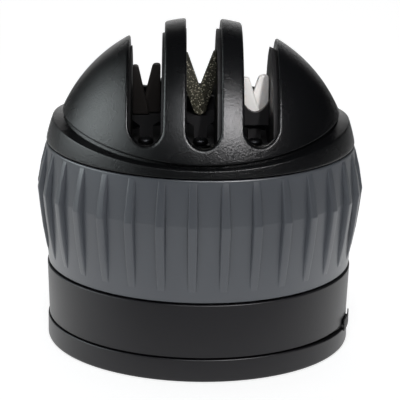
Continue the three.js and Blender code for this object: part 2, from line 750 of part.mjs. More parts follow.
// Carrier: a round floor with four upright walls that line the slots
function stageCarrier() {
  const shell = ball(domeRadius - domeShell - carrierShellGap);
  const halfSpan = slotPitch + linerHalfWidth + carrierSideWall;
  const reach = domeRadius;
  const upper = shell.intersect(block(-halfSpan - linerShift, halfSpan - linerShift, -reach, reach,
    domeBottom, domeTop));
  const drum = post(spigotBore - fitGap, carrierBottom, domeBottom + fitGap, OUTER_SIDES);
  const slots = stageCentres.map((x) =>
    block(x - linerHalfWidth, x + linerHalfWidth, -reach, reach, floorTop, domeTop + cutOverrun));
  const boltHole = post(deckBoltHeadRadius + fitGap, carrierBottom - cutOverrun, floorTop + fitGap,
    INNER_SIDES);
  const stageHoles = stageCentres.map((x) =>
    post(screwRadius + fitGap, carrierBottom - cutOverrun, floorTop + cutOverrun)
      .translate([x, -stageScrewDepth, 0]));
  const fixings = carrierScrewPlaces.map(([x, y]) =>
    post(screwRadius + fitGap, carrierBottom - cutOverrun, floorTop + headScrewReach)
      .translate([x, y, 0]));
  return cut(join([upper, drum]), [...slots, boltHole, ...stageHoles, ...fixings]);
}

const stageScrewDepth = armThickness + stageTabLength / 2 + washerRadius / 2;

// Holder of one stage: foot with a screw tab, narrow post, saddle and a low plate behind the tools
function stageHolder(centre, seat, thickness, cheek) {
  const back = thickness + 2 * fitGap + backPlate;
  const shape = outline([
    [centre - stageHalfWidth, stageBottom], [centre + stageHalfWidth, stageBottom],
    [centre + stageHalfWidth, stageFootTop], [centre + postHalfWidth, stageFootTop + fitGap],
    [centre + postHalfWidth, seat - saddleHeight], [centre + stageHalfWidth, seat - saddleHeight / 2],
    [centre + stageHalfWidth, seat], [centre - stageHalfWidth, seat],
    [centre - stageHalfWidth, seat - saddleHeight / 2], [centre - postHalfWidth, seat - saddleHeight],
    [centre - postHalfWidth, stageFootTop + fitGap], [centre - stageHalfWidth, stageFootTop],
  ]);
  const upright = plate(shape, -thickness, back);
  const rear = block(centre - stageHalfWidth, centre + stageHalfWidth, back - backPlate, back,
    seat - saddleHeight / 2, seat + backPlateRise);
  const tabFront = -stageScrewDepth - washerRadius;
  const tab = block(centre - stageHalfWidth, centre + stageHalfWidth, tabFront, 0,
    stageBottom, stageFootTop);
  const hole = post(screwRadius + fitGap, stageBottom - cutOverrun, stageFootTop + cutOverrun)
    .translate([centre, -stageScrewDepth, 0]);
  const solids = [upright, rear, tab];
  if (cheek) solids.push(saddleCheek(centre, seat, thickness));
  return cut(join(solids), [hole]);
}

// Front cheek with a hollow upper rim, in front of the tools
function saddleCheek(centre, seat, thickness) {
  const rim = seat + saddleRim + saddleDip;
  const shape = new THREE.Shape();
  shape.moveTo(centre - stageHalfWidth, seat - saddleHeight / 2);
  shape.lineTo(centre + stageHalfWidth, seat - saddleHeight / 2);
  shape.lineTo(centre + stageHalfWidth, rim);
  shape.quadraticCurveTo(centre, rim - 2 * saddleDip, centre - stageHalfWidth, rim);
  shape.closePath();
  return plate(shape, -thickness - fitGap - backPlate, -thickness - fitGap)
    .add(block(centre - stageHalfWidth, centre + stageHalfWidth, -thickness - fitGap - backPlate, 0,
      seat - saddleHeight / 2, seat));
}

// Sharpening plate with one sloping edge; side is -1 for the left plate and 1 for the right one
function slopedPlate(centre, side, sizes, frontY, backY) {
  const { top, bottom, apex, halfMouth, offset } = sizes;
  const middle = centre + offset;
  const lean = halfMouth / (top - apex);
  const foot = middle - side * lean * (apex - bottom);
  const outer = centre + side * stageHalfWidth;
  const mouth = middle + side * halfMouth;
  const corner = Math.min(plateCorner, Math.abs(outer - mouth) * plateCornerShare);
  const shape = outline([
    [outer, bottom], [outer, top - corner], [outer - side * corner, top], [mouth + side * corner / 2, top],
    [mouth - side * lean * corner, top - corner], [foot, bottom],
  ]);
  return plate(shape, frontY, backY);
}

// Abrasive arm: a bar with a round foot, cut off at the liner wall
function abrasiveArm(centre, side, frontY, backY) {
  const lean = Math.atan(mediumHalfMouth / (mediumTop - mediumApex));
  const radius = armWidth / 2;
  const along = new THREE.Vector2(side * Math.sin(lean), Math.cos(lean));
  const across = new THREE.Vector2(side * Math.cos(lean), -Math.sin(lean));
  const apexPoint = new THREE.Vector2(centre + mediumOffset, mediumApex);
  const axisPoint = apexPoint.clone().addScaledVector(across, radius);
  const drop = (axisPoint.y - mediumBottom - radius) / along.y;
  const foot = axisPoint.clone().addScaledVector(along, -drop);
  const start = Math.atan2(across.y, across.x);
  const points = Array.from({ length: ARC_STEPS + 1 }, (_, k) => {
    const turn = start - side * Math.PI * k / ARC_STEPS;
    return new THREE.Vector2(foot.x + radius * Math.cos(turn), foot.y + radius * Math.sin(turn));
  });
  const reach = mediumTop - mediumBottom + armWidth;
  points.push(points[ARC_STEPS].clone().addScaledVector(along, reach));
  points.push(points[0].clone().addScaledVector(along, reach));
  const bar = plate(new THREE.Shape(points), frontY, backY);
  return bar.intersect(block(centre - stageHalfWidth, centre + stageHalfWidth, frontY, backY,
    mediumBottom - armWidth, mediumTop));
}

// Pieces, from the foot upwards
addPiece('foot_ring', footRing(), satinBlack);
addPiece('base_housing', baseHousing(), satinBlack);
addPiece('suction_cup', suctionCup(), blackRubber);
footPlaces.forEach((at, k) => {
  const low = footCounterbore - screwHeadHeight - fitGap;
  addPiece(`foot_screw_${k + 1}`,
    screw(footScrewRadius, footScrewHeadRadius, low, footCounterbore + footScrewReach, footScrewCircle, at),
    steel);
});
addPiece('guide_tower', guideTower(), darkGrey);
towerPlaces.forEach((at, k) => {
  addPiece(`tower_screw_${k + 1}`,
    screw(screwRadius, screwHeadRadius, towerFlangeTop + fitGap, towerFlangeTop - towerScrewReach,
      towerScrewCircle, at), steel);
});
addPiece('glide_ring', turned([
  [coreRadius - glideWidth, baseTop + fitGap], [coreRadius, baseTop + fitGap],
  [coreRadius, coreBottom - fitGap], [coreRadius - glideWidth, coreBottom - fitGap],
], OUTER_SIDES), whitePlastic);

addPiece('grip_sleeve', gripSleeve(), slateRubber, gripGroup);
addPiece('grip_core', gripCore(), darkGrey, gripGroup);
addPiece('cam_ring', camRing(), whitePlastic, gripGroup);
camPlaces.forEach((at, k) => {
  addPiece(`cam_screw_${k + 1}`,
    screw(screwRadius, screwHeadRadius, camBottom - fitGap - screwHeadHeight, webTop + coreBossHeight,
      camScrewCircle, at), steel, gripGroup);
});

addPiece('pull_stud', pullStud(), whitePlastic, studGroup);
addPiece('cam_pin', crossPin(pinRadius, camHubRadius - fitGap), steel, studGroup);
addPiece('return_spring', turned([
  [studRadius - springWall, springBottom], [studRadius, springBottom], [studRadius, springTop],
  [studRadius - springWall, springTop],
], INNER_SIDES), steel);

addPiece('head_deck', headDeck(), darkGrey);
addPiece('deck_bolt', screw(deckBoltRadius, deckBoltHeadRadius, headDeckTop + fitGap,
  towerBoreTop + fitGap, 0, 0), steel);
addPiece('collar_ring', collarRing(), glossBlack);
addPiece('dome_cover', domeCover(), glossBlack);
headPlaces.forEach((at, k) => {
  addPiece(`head_screw_${k + 1}`,
    screw(screwRadius, headScrewHeadRadius, headDeckBottom - fitGap - screwHeadHeight,
      domeBottom + headScrewReach, headScrewCircle, at), steel);
});
addPiece('stage_carrier', stageCarrier(), darkGrey);
carrierScrewPlaces.forEach(([x, y], k) => {
  addPiece(`carrier_screw_${k + 1}`,
    screw(screwRadius, headScrewHeadRadius, headDeckBottom - fitGap - screwHeadHeight,
      floorTop + headScrewReach - fitGap, 0, 0).translate([x, y, 0]), steel);
});

const [coarseX, mediumX, fineX] = stageCentres;
const coarseSizes = {
  top: coarseTop, bottom: coarseBottom, apex: coarseApex, halfMouth: coarseHalfMouth, offset: coarseOffset,
};
const fineSizes = {
  top: fineTop, bottom: fineBottom, apex: fineApex, halfMouth: fineHalfMouth, offset: fineOffset,
};
const halfSplit = fitGap / 2;
addPiece('coarse_holder', stageHolder(coarseX, coarseBottom - fitGap, plateThickness + halfSplit, false),
  darkGrey);
addPiece('carbide_plate_left',
  slopedPlate(coarseX, -1, coarseSizes, -halfSplit - plateThickness, -halfSplit), carbide);
addPiece('carbide_plate_right',
  slopedPlate(coarseX, 1, coarseSizes, halfSplit, halfSplit + plateThickness), carbide);
addPiece('medium_holder', stageHolder(mediumX, mediumBottom - fitGap, armThickness + halfSplit, false),
  darkGrey);
addPiece('diamond_arm_left', abrasiveArm(mediumX, -1, -halfSplit - armThickness, -halfSplit), diamond);
addPiece('diamond_arm_right', abrasiveArm(mediumX, 1, halfSplit, halfSplit + armThickness), diamond);
addPiece('fine_holder', stageHolder(fineX, fineBottom - fitGap, armThickness + halfSplit, true), darkGrey);
addPiece('ceramic_bar_left',
  slopedPlate(fineX, -1, fineSizes, -halfSplit - armThickness, -halfSplit), ceramic);
addPiece('ceramic_bar_right',
  slopedPlate(fineX, 1, fineSizes, halfSplit, halfSplit + armThickness), ceramic);
[['coarse', coarseX], ['medium', mediumX], ['fine', fineX]].forEach(([stage, x]) => {
  const washerLow = stageFootTop + fitGap;
  const ring = post(washerRadius, washerLow, washerLow + washerThickness, SCREW_SIDES * 2)
    .subtract(post(screwRadius + fitGap, washerLow - cutOverrun, washerLow + cutOverrun))
    .translate([x, -stageScrewDepth, 0]);
  addPiece(`${stage}_washer`, ring, steel);
  addPiece(`${stage}_screw`,
    screw(screwRadius, screwHeadRadius, washerLow + washerThickness + fitGap, carrierBottom + fitGap, 0, 0)
      .translate([x, -stageScrewDepth, 0]), steel);
});

export default model;
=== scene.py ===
"""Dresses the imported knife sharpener: moulded dome, ribbed grip, suction foot, sharpening tools and studio."""

import logging
import math
from collections.abc import Callable, Iterator, Sequence
from contextlib import contextmanager
from dataclasses import dataclass
from enum import Enum

import bmesh
import bpy
import numpy as np
from mathutils import Matrix, Vector


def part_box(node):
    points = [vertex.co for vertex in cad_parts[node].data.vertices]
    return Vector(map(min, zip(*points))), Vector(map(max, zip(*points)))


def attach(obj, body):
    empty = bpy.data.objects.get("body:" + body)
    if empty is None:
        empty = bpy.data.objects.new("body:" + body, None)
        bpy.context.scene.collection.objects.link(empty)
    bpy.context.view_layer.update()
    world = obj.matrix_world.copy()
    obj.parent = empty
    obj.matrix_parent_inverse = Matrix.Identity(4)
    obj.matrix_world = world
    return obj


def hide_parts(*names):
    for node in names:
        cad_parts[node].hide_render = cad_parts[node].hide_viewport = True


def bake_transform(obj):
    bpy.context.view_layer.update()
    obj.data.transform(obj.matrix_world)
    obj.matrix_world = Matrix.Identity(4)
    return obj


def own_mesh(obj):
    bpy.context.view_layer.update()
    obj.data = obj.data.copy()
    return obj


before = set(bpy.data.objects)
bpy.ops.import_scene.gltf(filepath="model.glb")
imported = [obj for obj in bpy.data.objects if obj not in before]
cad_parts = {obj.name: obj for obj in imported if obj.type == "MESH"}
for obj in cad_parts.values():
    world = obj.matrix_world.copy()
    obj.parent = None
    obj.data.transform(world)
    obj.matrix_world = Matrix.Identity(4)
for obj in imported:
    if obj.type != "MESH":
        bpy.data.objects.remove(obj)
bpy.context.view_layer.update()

log = logging.getLogger("sharpener")

MM = 0.001
TURN = 2 * math.pi
RING_SIDES = 256
HIDDEN_SIDES = 96

Points = np.ndarray
Field = Callable[[Points], Points]
Colour = tuple[float, float, float]
Corner = tuple[float, float, float]
Profile = list[tuple[float, float]]
Mesh = bpy.types.Mesh
Socket = bpy.types.NodeSocket


class Side(Enum):
    """Which side of a slot a sharpening tool stands on."""

    LEFT = -1
    RIGHT = 1


class Body(Enum):
    """The rigid bodies that whole pieces ride on."""

    ROOT = "root"
    GRIP = "grip"


def node_box(name: str) -> tuple[Points, Points]:
    """Lowest and highest corner of a frame node, in millimetres."""
    low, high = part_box(name)
    return np.array(low) / MM, np.array(high) / MM


def at_turn(radius: float | Points, turn: float) -> tuple:
    """X and Y at a distance from the axis and a turn in radians, which runs from the front towards +X."""
    return radius * math.sin(turn), -radius * math.cos(turn)


# Node trees: materials, world, floor and the trees that repeat shapes

class Tree:
    """Node tree built step by step; a node's inputs are values or sockets of earlier nodes."""

    def __init__(self, tree: bpy.types.NodeTree) -> None:
        """Starts on a tree."""
        self.tree = tree

    def fill(self, node: bpy.types.Node, inputs: dict[str | int, object]) -> bpy.types.Node:
        """Sets or links a node's inputs.

        Args:
            node: The node.
            inputs: Value or output socket for each input.

        Returns:
            The same node.
        """
        for label, value in inputs.items():
            if isinstance(value, Socket):
                self.tree.links.new(value, node.inputs[label])
            else:
                node.inputs[label].default_value = value
        return node

    def add(self, kind: str, inputs: dict[str | int, object] | None = None,
            **settings: object) -> bpy.types.Node:
        """Adds a node.

        Args:
            kind: The node's type.
            inputs: Value or output socket for each input.
            settings: The node's own options.

        Returns:
            The node.
        """
        made = self.tree.nodes.new(kind)
        for label, value in settings.items():
            setattr(made, label, value)
        return self.fill(made, inputs or {})

    def maths(self, operation: str, *values: Socket | float, **settings: object) -> Socket:
        """Result of a math node on values or sockets."""
        return self.add("ShaderNodeMath", dict(enumerate(values)), operation=operation, **settings).outputs[0]

    def passage(self, value: Socket, span: tuple[float, float], levels: tuple[float, float]) -> Socket:
        """Smooth passage from one level to another while a value crosses a span."""
        inputs = dict(zip(("Value", "From Min", "From Max", "To Min", "To Max"), (value, *span, *levels)))
        return self.add("ShaderNodeMapRange", inputs, interpolation_type="SMOOTHSTEP").outputs[0]

    def seen(self, path: bpy.types.bpy_prop_collection) -> Socket:
        """Mask of the rays that reach the camera straight or through a clear part, from light path outputs."""
        return self.maths("MAXIMUM", path["Is Camera Ray"], path["Is Transmission Ray"])


class GroupTree(Tree):
    """Node group with inputs and outputs of its own."""

    def __init__(self, kind: str, name: str, inputs: dict[str, str], outputs: dict[str, str]) -> None:
        """Starts an empty group.

        Args:
            kind: Shader or Geometry.
            name: The group's name.
            inputs: Kind of each input by its name.
            outputs: Kind of each output by its name.
        """
        super().__init__(bpy.data.node_groups.new(name, kind + "NodeTree"))
        for way, sockets in (("INPUT", inputs), ("OUTPUT", outputs)):
            for label, socket in sockets.items():
                self.tree.interface.new_socket(label, in_out=way, socket_type="NodeSocket" + socket)
        self.given = self.tree.nodes.new("NodeGroupInput").outputs
        self.result = self.tree.nodes.new("NodeGroupOutput")

    def close(self, **outputs: Socket) -> bpy.types.NodeTree:
        """Links the group's outputs and returns the finished tree."""
        self.fill(self.result, outputs)
        return self.tree


def grain_group() -> bpy.types.NodeTree:
    """Spark-eroded mould grain: rounded cells under a finer noise.

    Returns:
        The group's tree.
    """
    finer = 2.3
    tree = GroupTree("Shader", "moulded_grain", {"Vector": "Vector", "Scale": "Float"}, {"Height": "Float"})
    place, scale = tree.given["Vector"], tree.given["Scale"]
    cells = tree.add("ShaderNodeTexVoronoi", {"Vector": place, "Scale": scale}, feature="SMOOTH_F1")
    noise = tree.add("ShaderNodeTexNoise",
                     {"Vector": place, "Scale": tree.maths("MULTIPLY", scale, finer), "Detail": 2.0})
    return tree.close(Height=tree.maths("ADD", cells.outputs["Distance"], noise.outputs["Fac"]))


def mottle_group() -> bpy.types.NodeTree:
    """Slow, faint variation of a moulded surface, as a mask from 0 to 1.

    Returns:
        The group's tree.
    """
    contrast, middle = 1.5, 0.5
    tree = GroupTree("Shader", "soft_mottle", {"Vector": "Vector", "Scale": "Float"}, {"Mask": "Float"})
    noise = tree.add("ShaderNodeTexNoise",
                     {"Vector": tree.given["Vector"], "Scale": tree.given["Scale"], "Detail": 4.0})
    spread = tree.maths("MULTIPLY", tree.maths("SUBTRACT", noise.outputs["Fac"], middle), contrast)
    return tree.close(Mask=tree.maths("ADD", spread, middle, use_clamp=True))


def grit_group() -> bpy.types.NodeTree:
    """Loose abrasive crystals: one random value and a height for each crystal.

    Returns:
        The group's tree.
    """
    tree = GroupTree("Shader", "grit", {"Vector": "Vector", "Scale": "Float"},
                     {"Sparkle": "Float", "Height": "Float"})
    cells = tree.add("ShaderNodeTexVoronoi", {"Vector": tree.given["Vector"], "Scale": tree.given["Scale"]})
    split = tree.add("ShaderNodeSeparateColor", {"Color": cells.outputs["Color"]})
    return tree.close(Sparkle=split.outputs["Red"], Height=cells.outputs["Distance"])


# Shader groups that several finishes share
GROUPS = {"moulded_grain": grain_group(), "soft_mottle": mottle_group(), "grit": grit_group()}


@dataclass(frozen=True)
class Finish:
    """One finish: two close colours, gloss, and grain, as a procedural material.

    Attributes:
        label: The material's name.
        slot: Name of a material slot; not used.
        light: Colour of the paler patches.
        dark: Colour of the darker patches.
        roughness: Roughness of the glossier and the duller patches.
        grain: Grains to the metre.
        relief: Depth of the grain in metres.
        metallic: 1 for bare metal.
        mottle: Patches to the metre.
        specular: Specular level.
        translucence: Weight of light scattered inside.
        texture: The shared group that gives the relief.
    """

    label: str
    slot: str
    light: Colour
    dark: Colour
    roughness: tuple[float, float]
    grain: float = 2500.0
    relief: float = 0.00002
    metallic: float = 0.0
    mottle: float = 60.0
    specular: float = 0.5
    translucence: float = 0.0
    texture: str = "moulded_grain"

    @staticmethod
    def _shared(tree: Tree, name: str, place: Socket, scale: float) -> bpy.types.bpy_prop_collection:
        """Outputs of a shared group, placed in a material at the finish's own scale."""
        return tree.add("ShaderNodeGroup", {"Vector": place, "Scale": scale}, node_tree=GROUPS[name]).outputs

    def material(self) -> bpy.types.Material:
        """Builds the material, or finds it where it is already built.

        Returns:
            The material.
        """
        known = bpy.data.materials.get(self.label)
        if known:
            return known
        material = bpy.data.materials.new(self.label)
        material.use_nodes = True
        tree = Tree(material.node_tree)
        place = tree.add("ShaderNodeTexCoord").outputs["Object"]
        mask = self._shared(tree, "soft_mottle", place, self.mottle)["Mask"]
        colour = tree.add("ShaderNodeMix", {"Factor": mask, "A": (*self.dark, 1), "B": (*self.light, 1)},
                          data_type="RGBA")
        rough = tree.add("ShaderNodeMapRange",
                         {"Value": mask, "To Min": self.roughness[0], "To Max": self.roughness[1]})
        height = self._shared(tree, self.texture, place, self.grain)["Height"]
        bump = tree.add("ShaderNodeBump", {"Height": height, "Distance": self.relief})
        tree.fill(material.node_tree.nodes["Principled BSDF"], {
            "Base Color": self._tint(tree, colour.outputs["Result"], place),
            "Roughness": rough.outputs["Result"], "Normal": bump.outputs["Normal"],
            "Metallic": self.metallic, "Specular IOR Level": self.specular,
            "Subsurface Weight": self.translucence, "Subsurface Scale": 2 * MM,
            "Subsurface Radius": (1, 0.88, 0.82)})
        return material

    def _tint(self, tree: Tree, colour: Socket, place: Socket) -> Socket:
        """Socket that gives the base colour; plain finishes use the mottled colour as it is."""
        return colour


@dataclass(frozen=True)
class GritFinish(Finish):
    """Abrasive coat whose crystals differ in colour, a few of them painted bright in place of their glints.

    Attributes:
        painted_glint: Painted highlight: the colour that the brightest crystals get in place of their glints.
        shadow: Colour of the darkest crystals.
        steps: Share of the crystals below the coat's dark, light and brightest colour.
        weight: Weight of the crystals' colours over the mottled one.
    """

    texture: str = "grit"
    painted_glint: Colour = (0.8, 0.75, 0.58)
    shadow: Colour = (0.02, 0.018, 0.012)
    steps: tuple[float, float, float] = (0.3, 0.62, 0.9)
    weight: float = 0.75

    def _tint(self, tree: Tree, colour: Socket, place: Socket) -> Socket:
        """Mixes the coat's colour with dark gaps and a few crystals painted bright as glints.

        Args:
            tree: The material's tree.
            colour: The mottled colour.
            place: The place on the object.

        Returns:
            The socket of the base colour.
        """
        # Painted highlight: the top share of crystals gets a bright colour that stands in for their sparkle.
        sparkle = self._shared(tree, "grit", place, self.grain)["Sparkle"]
        node = tree.add("ShaderNodeValToRGB", {"Fac": sparkle})
        ramp = node.color_ramp
        ramp.interpolation = "CONSTANT"
        ramp.elements[1].position = self.steps[2]
        for step in self.steps[:2]:
            ramp.elements.new(step)
        for element, shade in zip(ramp.elements, (self.shadow, self.dark, self.light, self.painted_glint)):
            element.color = (*shade, 1)
        blend = tree.add("ShaderNodeMix", {"Factor": self.weight, "A": colour, "B": node.outputs["Color"]},
                         data_type="RGBA")
        return blend.outputs["Result"]


HEAD_BLACK = Finish("head_black", "gloss_black", (0.0048, 0.005, 0.0058), (0.0036, 0.0038, 0.0044),
                    (0.24, 0.3), grain=2600, relief=0.000045)
BASE_BLACK = Finish("base_black", "satin_black", (0.0084, 0.0076, 0.0106), (0.007, 0.0063, 0.0089),
                    (0.36, 0.42), grain=3000, relief=0.000008)
DARK_NYLON = Finish("dark_nylon", "dark_plastic", (0.024, 0.023, 0.024), (0.017, 0.016, 0.017),
                    (0.42, 0.55), grain=2500, relief=0.00001)
SLATE_RUBBER = Finish("slate_skin", "slate_rubber", (0.092, 0.1, 0.113), (0.078, 0.085, 0.098),
                      (0.3, 0.36), grain=4200, relief=0.000008, mottle=45, specular=0.7)
BLACK_RUBBER = Finish("cup_rubber", "black_rubber", (0.016, 0.016, 0.017), (0.011, 0.011, 0.012),
                      (0.5, 0.65), grain=3600, relief=0.00001)
NATURAL_ACETAL = Finish("natural_acetal", "natural_plastic", (0.7, 0.68, 0.61), (0.64, 0.62, 0.55),
                        (0.35, 0.45), translucence=0.1)
PLATED_STEEL = Finish("plated_steel", "steel", (0.55, 0.55, 0.57), (0.42, 0.42, 0.44), (0.25, 0.4),
                      grain=5200, relief=0.000004, metallic=1.0)
DARK_CARBIDE = Finish("dark_carbide", "carbide", (0.05, 0.043, 0.04), (0.034, 0.029, 0.027), (0.38, 0.5),
                      grain=5200, relief=0.000006, metallic=0.35)
OXIDE_STEEL = Finish("oxide_steel", "steel", (0.07, 0.07, 0.075), (0.05, 0.05, 0.055), (0.3, 0.45),
                     grain=5200, relief=0.000004, metallic=1.0)
WHITE_CERAMIC = Finish("white_ceramic", "ceramic", (0.95, 0.91, 0.88), (0.92, 0.87, 0.84), (0.4, 0.5),
                       grain=5200, relief=0.000006, translucence=0.3)
DIAMOND_COAT = GritFinish("diamond_coat", "diamond", (0.1, 0.094, 0.066), (0.04, 0.037, 0.026), (0.35, 0.6),
                          grain=4700, relief=0.0001, metallic=0.25, mottle=300)

# Mesh making: turned rings, implicit solids, bevelled prisms and node-made repeats

@contextmanager
def editing(mesh: Mesh, *sources: Mesh) -> Iterator[bmesh.types.BMesh]:
    """Opens a mesh for editing and writes the result back to it.

    Args:
        mesh: The mesh that is changed.
        sources: Meshes to start from, where that isn't the mesh itself.

    Yields:
        The open mesh.
    """
    work = bmesh.new()
    for source in sources or (mesh,):
        work.from_mesh(source)
    yield work
    work.to_mesh(mesh)
    work.free()


def placed(name: str, data: bpy.types.ID) -> bpy.types.Object:
    """New object at the origin, linked to the scene.

    Args:
        name: The object's name.
        data: Its mesh, lamp or camera.

    Returns:
        The object.
    """
    made = bpy.data.objects.new(name, data)
    bpy.context.scene.collection.objects.link(made)
    return made


def finish_object(name: str, mesh: Mesh, finish: Finish) -> bpy.types.Object:
    """Links a mesh to the scene as a smooth piece with one finish.

    Args:
        name: The piece's name.
        mesh: Mesh in metres, in the frame's place.
        finish: Its finish.

    Returns:
        The new object, at the origin.
    """
    mesh.materials.clear()
    mesh.materials.append(finish.material())
    mesh.polygons.foreach_set("use_smooth", [True] * len(mesh.polygons))
    mesh.update()
    log.info("%s: %d faces in %s", name, len(mesh.polygons), finish.label)
    return placed(name, mesh)


def add_piece(name: str, mesh: Mesh, finish: Finish, body: Body, *nodes: str,
              crisp: float | None = 35.0) -> bpy.types.Object:
    """Adds a piece, parents it to its body and hides the frame nodes it stands for.

    Args:
        name: The piece's name.
        mesh: Mesh in metres, in the frame's place.
        finish: Its finish.
        body: The body that it moves with.
        nodes: Frame nodes that it replaces.
        crisp: Edges that turn by more than this many degrees stay crisp in the shading, or none.

    Returns:
        The new object.
    """
    piece = finish_object(name, mesh, finish)
    if crisp is not None:
        with editing(mesh) as work:
            for edge in work.edges:
                edge.smooth = len(edge.link_faces) != 2 or edge.calc_face_angle(0) < math.radians(crisp)
    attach(piece, body.value)
    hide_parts(*nodes)
    log.info("%s rides on %s and stands for %s", name, body.value, ", ".join(nodes))
    return piece


def mesh_from(name: str, points: Points, faces: Sequence[Sequence[int]]) -> Mesh:
    """Mesh from millimetre points and face indices, its normals turned outwards.

    Args:
        name: The mesh's name.
        points: One row for each vertex, in millimetres.
        faces: Vertex indices of each face.

    Returns:
        The mesh, in metres.
    """
    mesh = bpy.data.meshes.new(name)
    mesh.from_pydata((np.asarray(points) * MM).tolist(), [], faces)
    with editing(mesh) as work:
        bmesh.ops.remove_doubles(work, verts=work.verts, dist=0.0005 * MM)
        bmesh.ops.recalc_face_normals(work, faces=work.faces)
    return mesh


def joined(name: str, meshes: Sequence[Mesh]) -> Mesh:
    """One new mesh that holds all the given ones.

    Args:
        name: The new mesh's name.
        meshes: The meshes to join.

    Returns:
        The joined mesh.
    """
    whole = bpy.data.meshes.new(name)
    with editing(whole, *meshes):
        pass  # Opening the sources together and writing them back is all that joins them
    return whole


def grid_faces(columns: int, rows: int, round_columns: bool = True, round_rows: bool = True) -> list[list[int]]:
    """Quads of a grid of points, column by column, that may close on itself.

    Args:
        columns: Number of columns.
        rows: Number of points in each column.
        round_columns: Whether the last column joins the first.
        round_rows: Whether each column's last point joins its first.

    Returns:
        The faces.
    """
    faces = []
    for i in range(columns if round_columns else columns - 1):
        for j in range(rows if round_rows else rows - 1):
            across, up = (i + 1) % columns, (j + 1) % rows
            faces.append([i * rows + j, across * rows + j, across * rows + up, i * rows + up])
    return faces


def rounded_profile(corners: Sequence[Corner], steps: int = 5) -> Profile:
    """Closed profile whose corners are replaced by tangent arcs.

    Args:
        corners: Radius, height and rounding of each corner, in order, in millimetres.
        steps: Segments in each arc.

    Returns:
        The profile's points.
    """
    room = 0.45
    result: Profile = []
    for i, (x, z, rounding) in enumerate(corners):
        if rounding <= 0:
            result.append((x, z))
            continue
        here = np.array([x, z])
        arms = [np.array(corners[k % len(corners)][:2]) - here for k in (i - 1, i + 1)]
        lengths = [np.linalg.norm(arm) for arm in arms]
        reach = min(rounding, lengths[0] * room, lengths[1] * room)
        start, end = (here + arm / length * reach for arm, length in zip(arms, lengths))
        for k in range(steps + 1):
            t = k / steps
            point = (1 - t) ** 2 * start + 2 * t * (1 - t) * here + t ** 2 * end
            result.append((float(point[0]), float(point[1])))
    return result


def swept_ring(name: str, profile_at: Callable[[float], Profile], sides: int = RING_SIDES) -> Mesh:
    """Ring whose section may change with azimuth.

    Args:
        name: The mesh's name.
        profile_at: Gives the section's points at an azimuth from the front towards +X.
        sides: Columns round the ring.

    Returns:
        The mesh.
    """
    columns = []
    for k in range(sides):
        azimuth = TURN * k / sides
        section = np.array(profile_at(azimuth))
        columns.append(np.column_stack([*at_turn(section[:, 0], azimuth), section[:, 1]]))
    return mesh_from(name, np.concatenate(columns), grid_faces(sides, len(columns[0])))


def turned(name: str, corners: Sequence[Corner], sides: int = RING_SIDES, steps: int = 5) -> Mesh:
    """Ring with one rounded section, given by its corners, all the way round."""
    profile = rounded_profile(corners, steps)
    return swept_ring(name, lambda azimuth: profile, sides)


def prism(name: str, outline: Profile, low: float, high: float, bevel: float, upright: bool = True) -> Mesh:
    """Straight prism over an outline, its edges rounded over.

    Args:
        name: The mesh's name.
        outline: Its outline as X and Y, or as X and Z for a plate that stands across Y.
        low: Z of its underside, or Y of a plate's front.
        high: Z of its top, or Y of a plate's back.
        bevel: Width of the rounded edges in millimetres.
        upright: Whether it is no such plate.

    Returns:
        The mesh.
    """
    count, sharp = len(outline), math.radians(30)
    points = [(a, b, level) if upright else (a, level, b) for level in (low, high) for a, b in outline]
    faces = [list(range(count)), list(range(2 * count - 1, count - 1, -1))]
    mesh = mesh_from(name, np.array(points), faces + grid_faces(2, count, round_columns=False))
    with editing(mesh) as work:
        edges = [edge for edge in work.edges if len(edge.link_faces) == 2 and edge.calc_face_angle(0) > sharp]
        bmesh.ops.bevel(work, geom=edges, offset=bevel * MM, segments=2 if upright else 3, profile=0.5,
                        affect="EDGES", clamp_overlap=True)
    return mesh


def evaluated(holder: bpy.types.Object) -> Mesh:
    """Mesh that an object's modifiers make; the object is removed.

    Args:
        holder: The object.

    Returns:
        A new mesh.
    """
    result = bpy.data.meshes.new_from_object(holder.evaluated_get(bpy.context.evaluated_depsgraph_get()))
    bpy.data.objects.remove(holder)
    return result


def drilled(mesh: Mesh, places: Profile, radius: float, low: float, high: float) -> Mesh:
    """Same mesh with upright round holes cut into it.

    Args:
        mesh: The mesh to cut.
        places: X and Y of each hole.
        radius: The holes' radius.
        low: Z where the cut starts.
        high: Z where it ends.

    Returns:
        A new mesh.
    """
    sides = 28
    ring = [(radius * math.cos(TURN * k / sides), radius * math.sin(TURN * k / sides)) for k in range(sides)]
    bits = [prism("drill_bit", [(x + a, y + b) for a, b in ring], low, high, 0) for x, y in places]
    body, tool = placed("drill_body", mesh), placed("drill_tool", joined("drill", bits))
    modifier = body.modifiers.new("drill", "BOOLEAN")
    modifier.operation, modifier.solver, modifier.object = "DIFFERENCE", "EXACT", tool
    result = evaluated(body)
    bpy.data.objects.remove(tool)
    return result


def field_slope(points: Points, distance: Field) -> Points:
    """Slope of a field at each point.

    Args:
        points: The points.
        distance: The field.

    Returns:
        One vector for each point.
    """
    probe = 0.02
    steps = probe * np.eye(3)
    return np.column_stack([distance(points + step) - distance(points - step) for step in steps]) / (2 * probe)


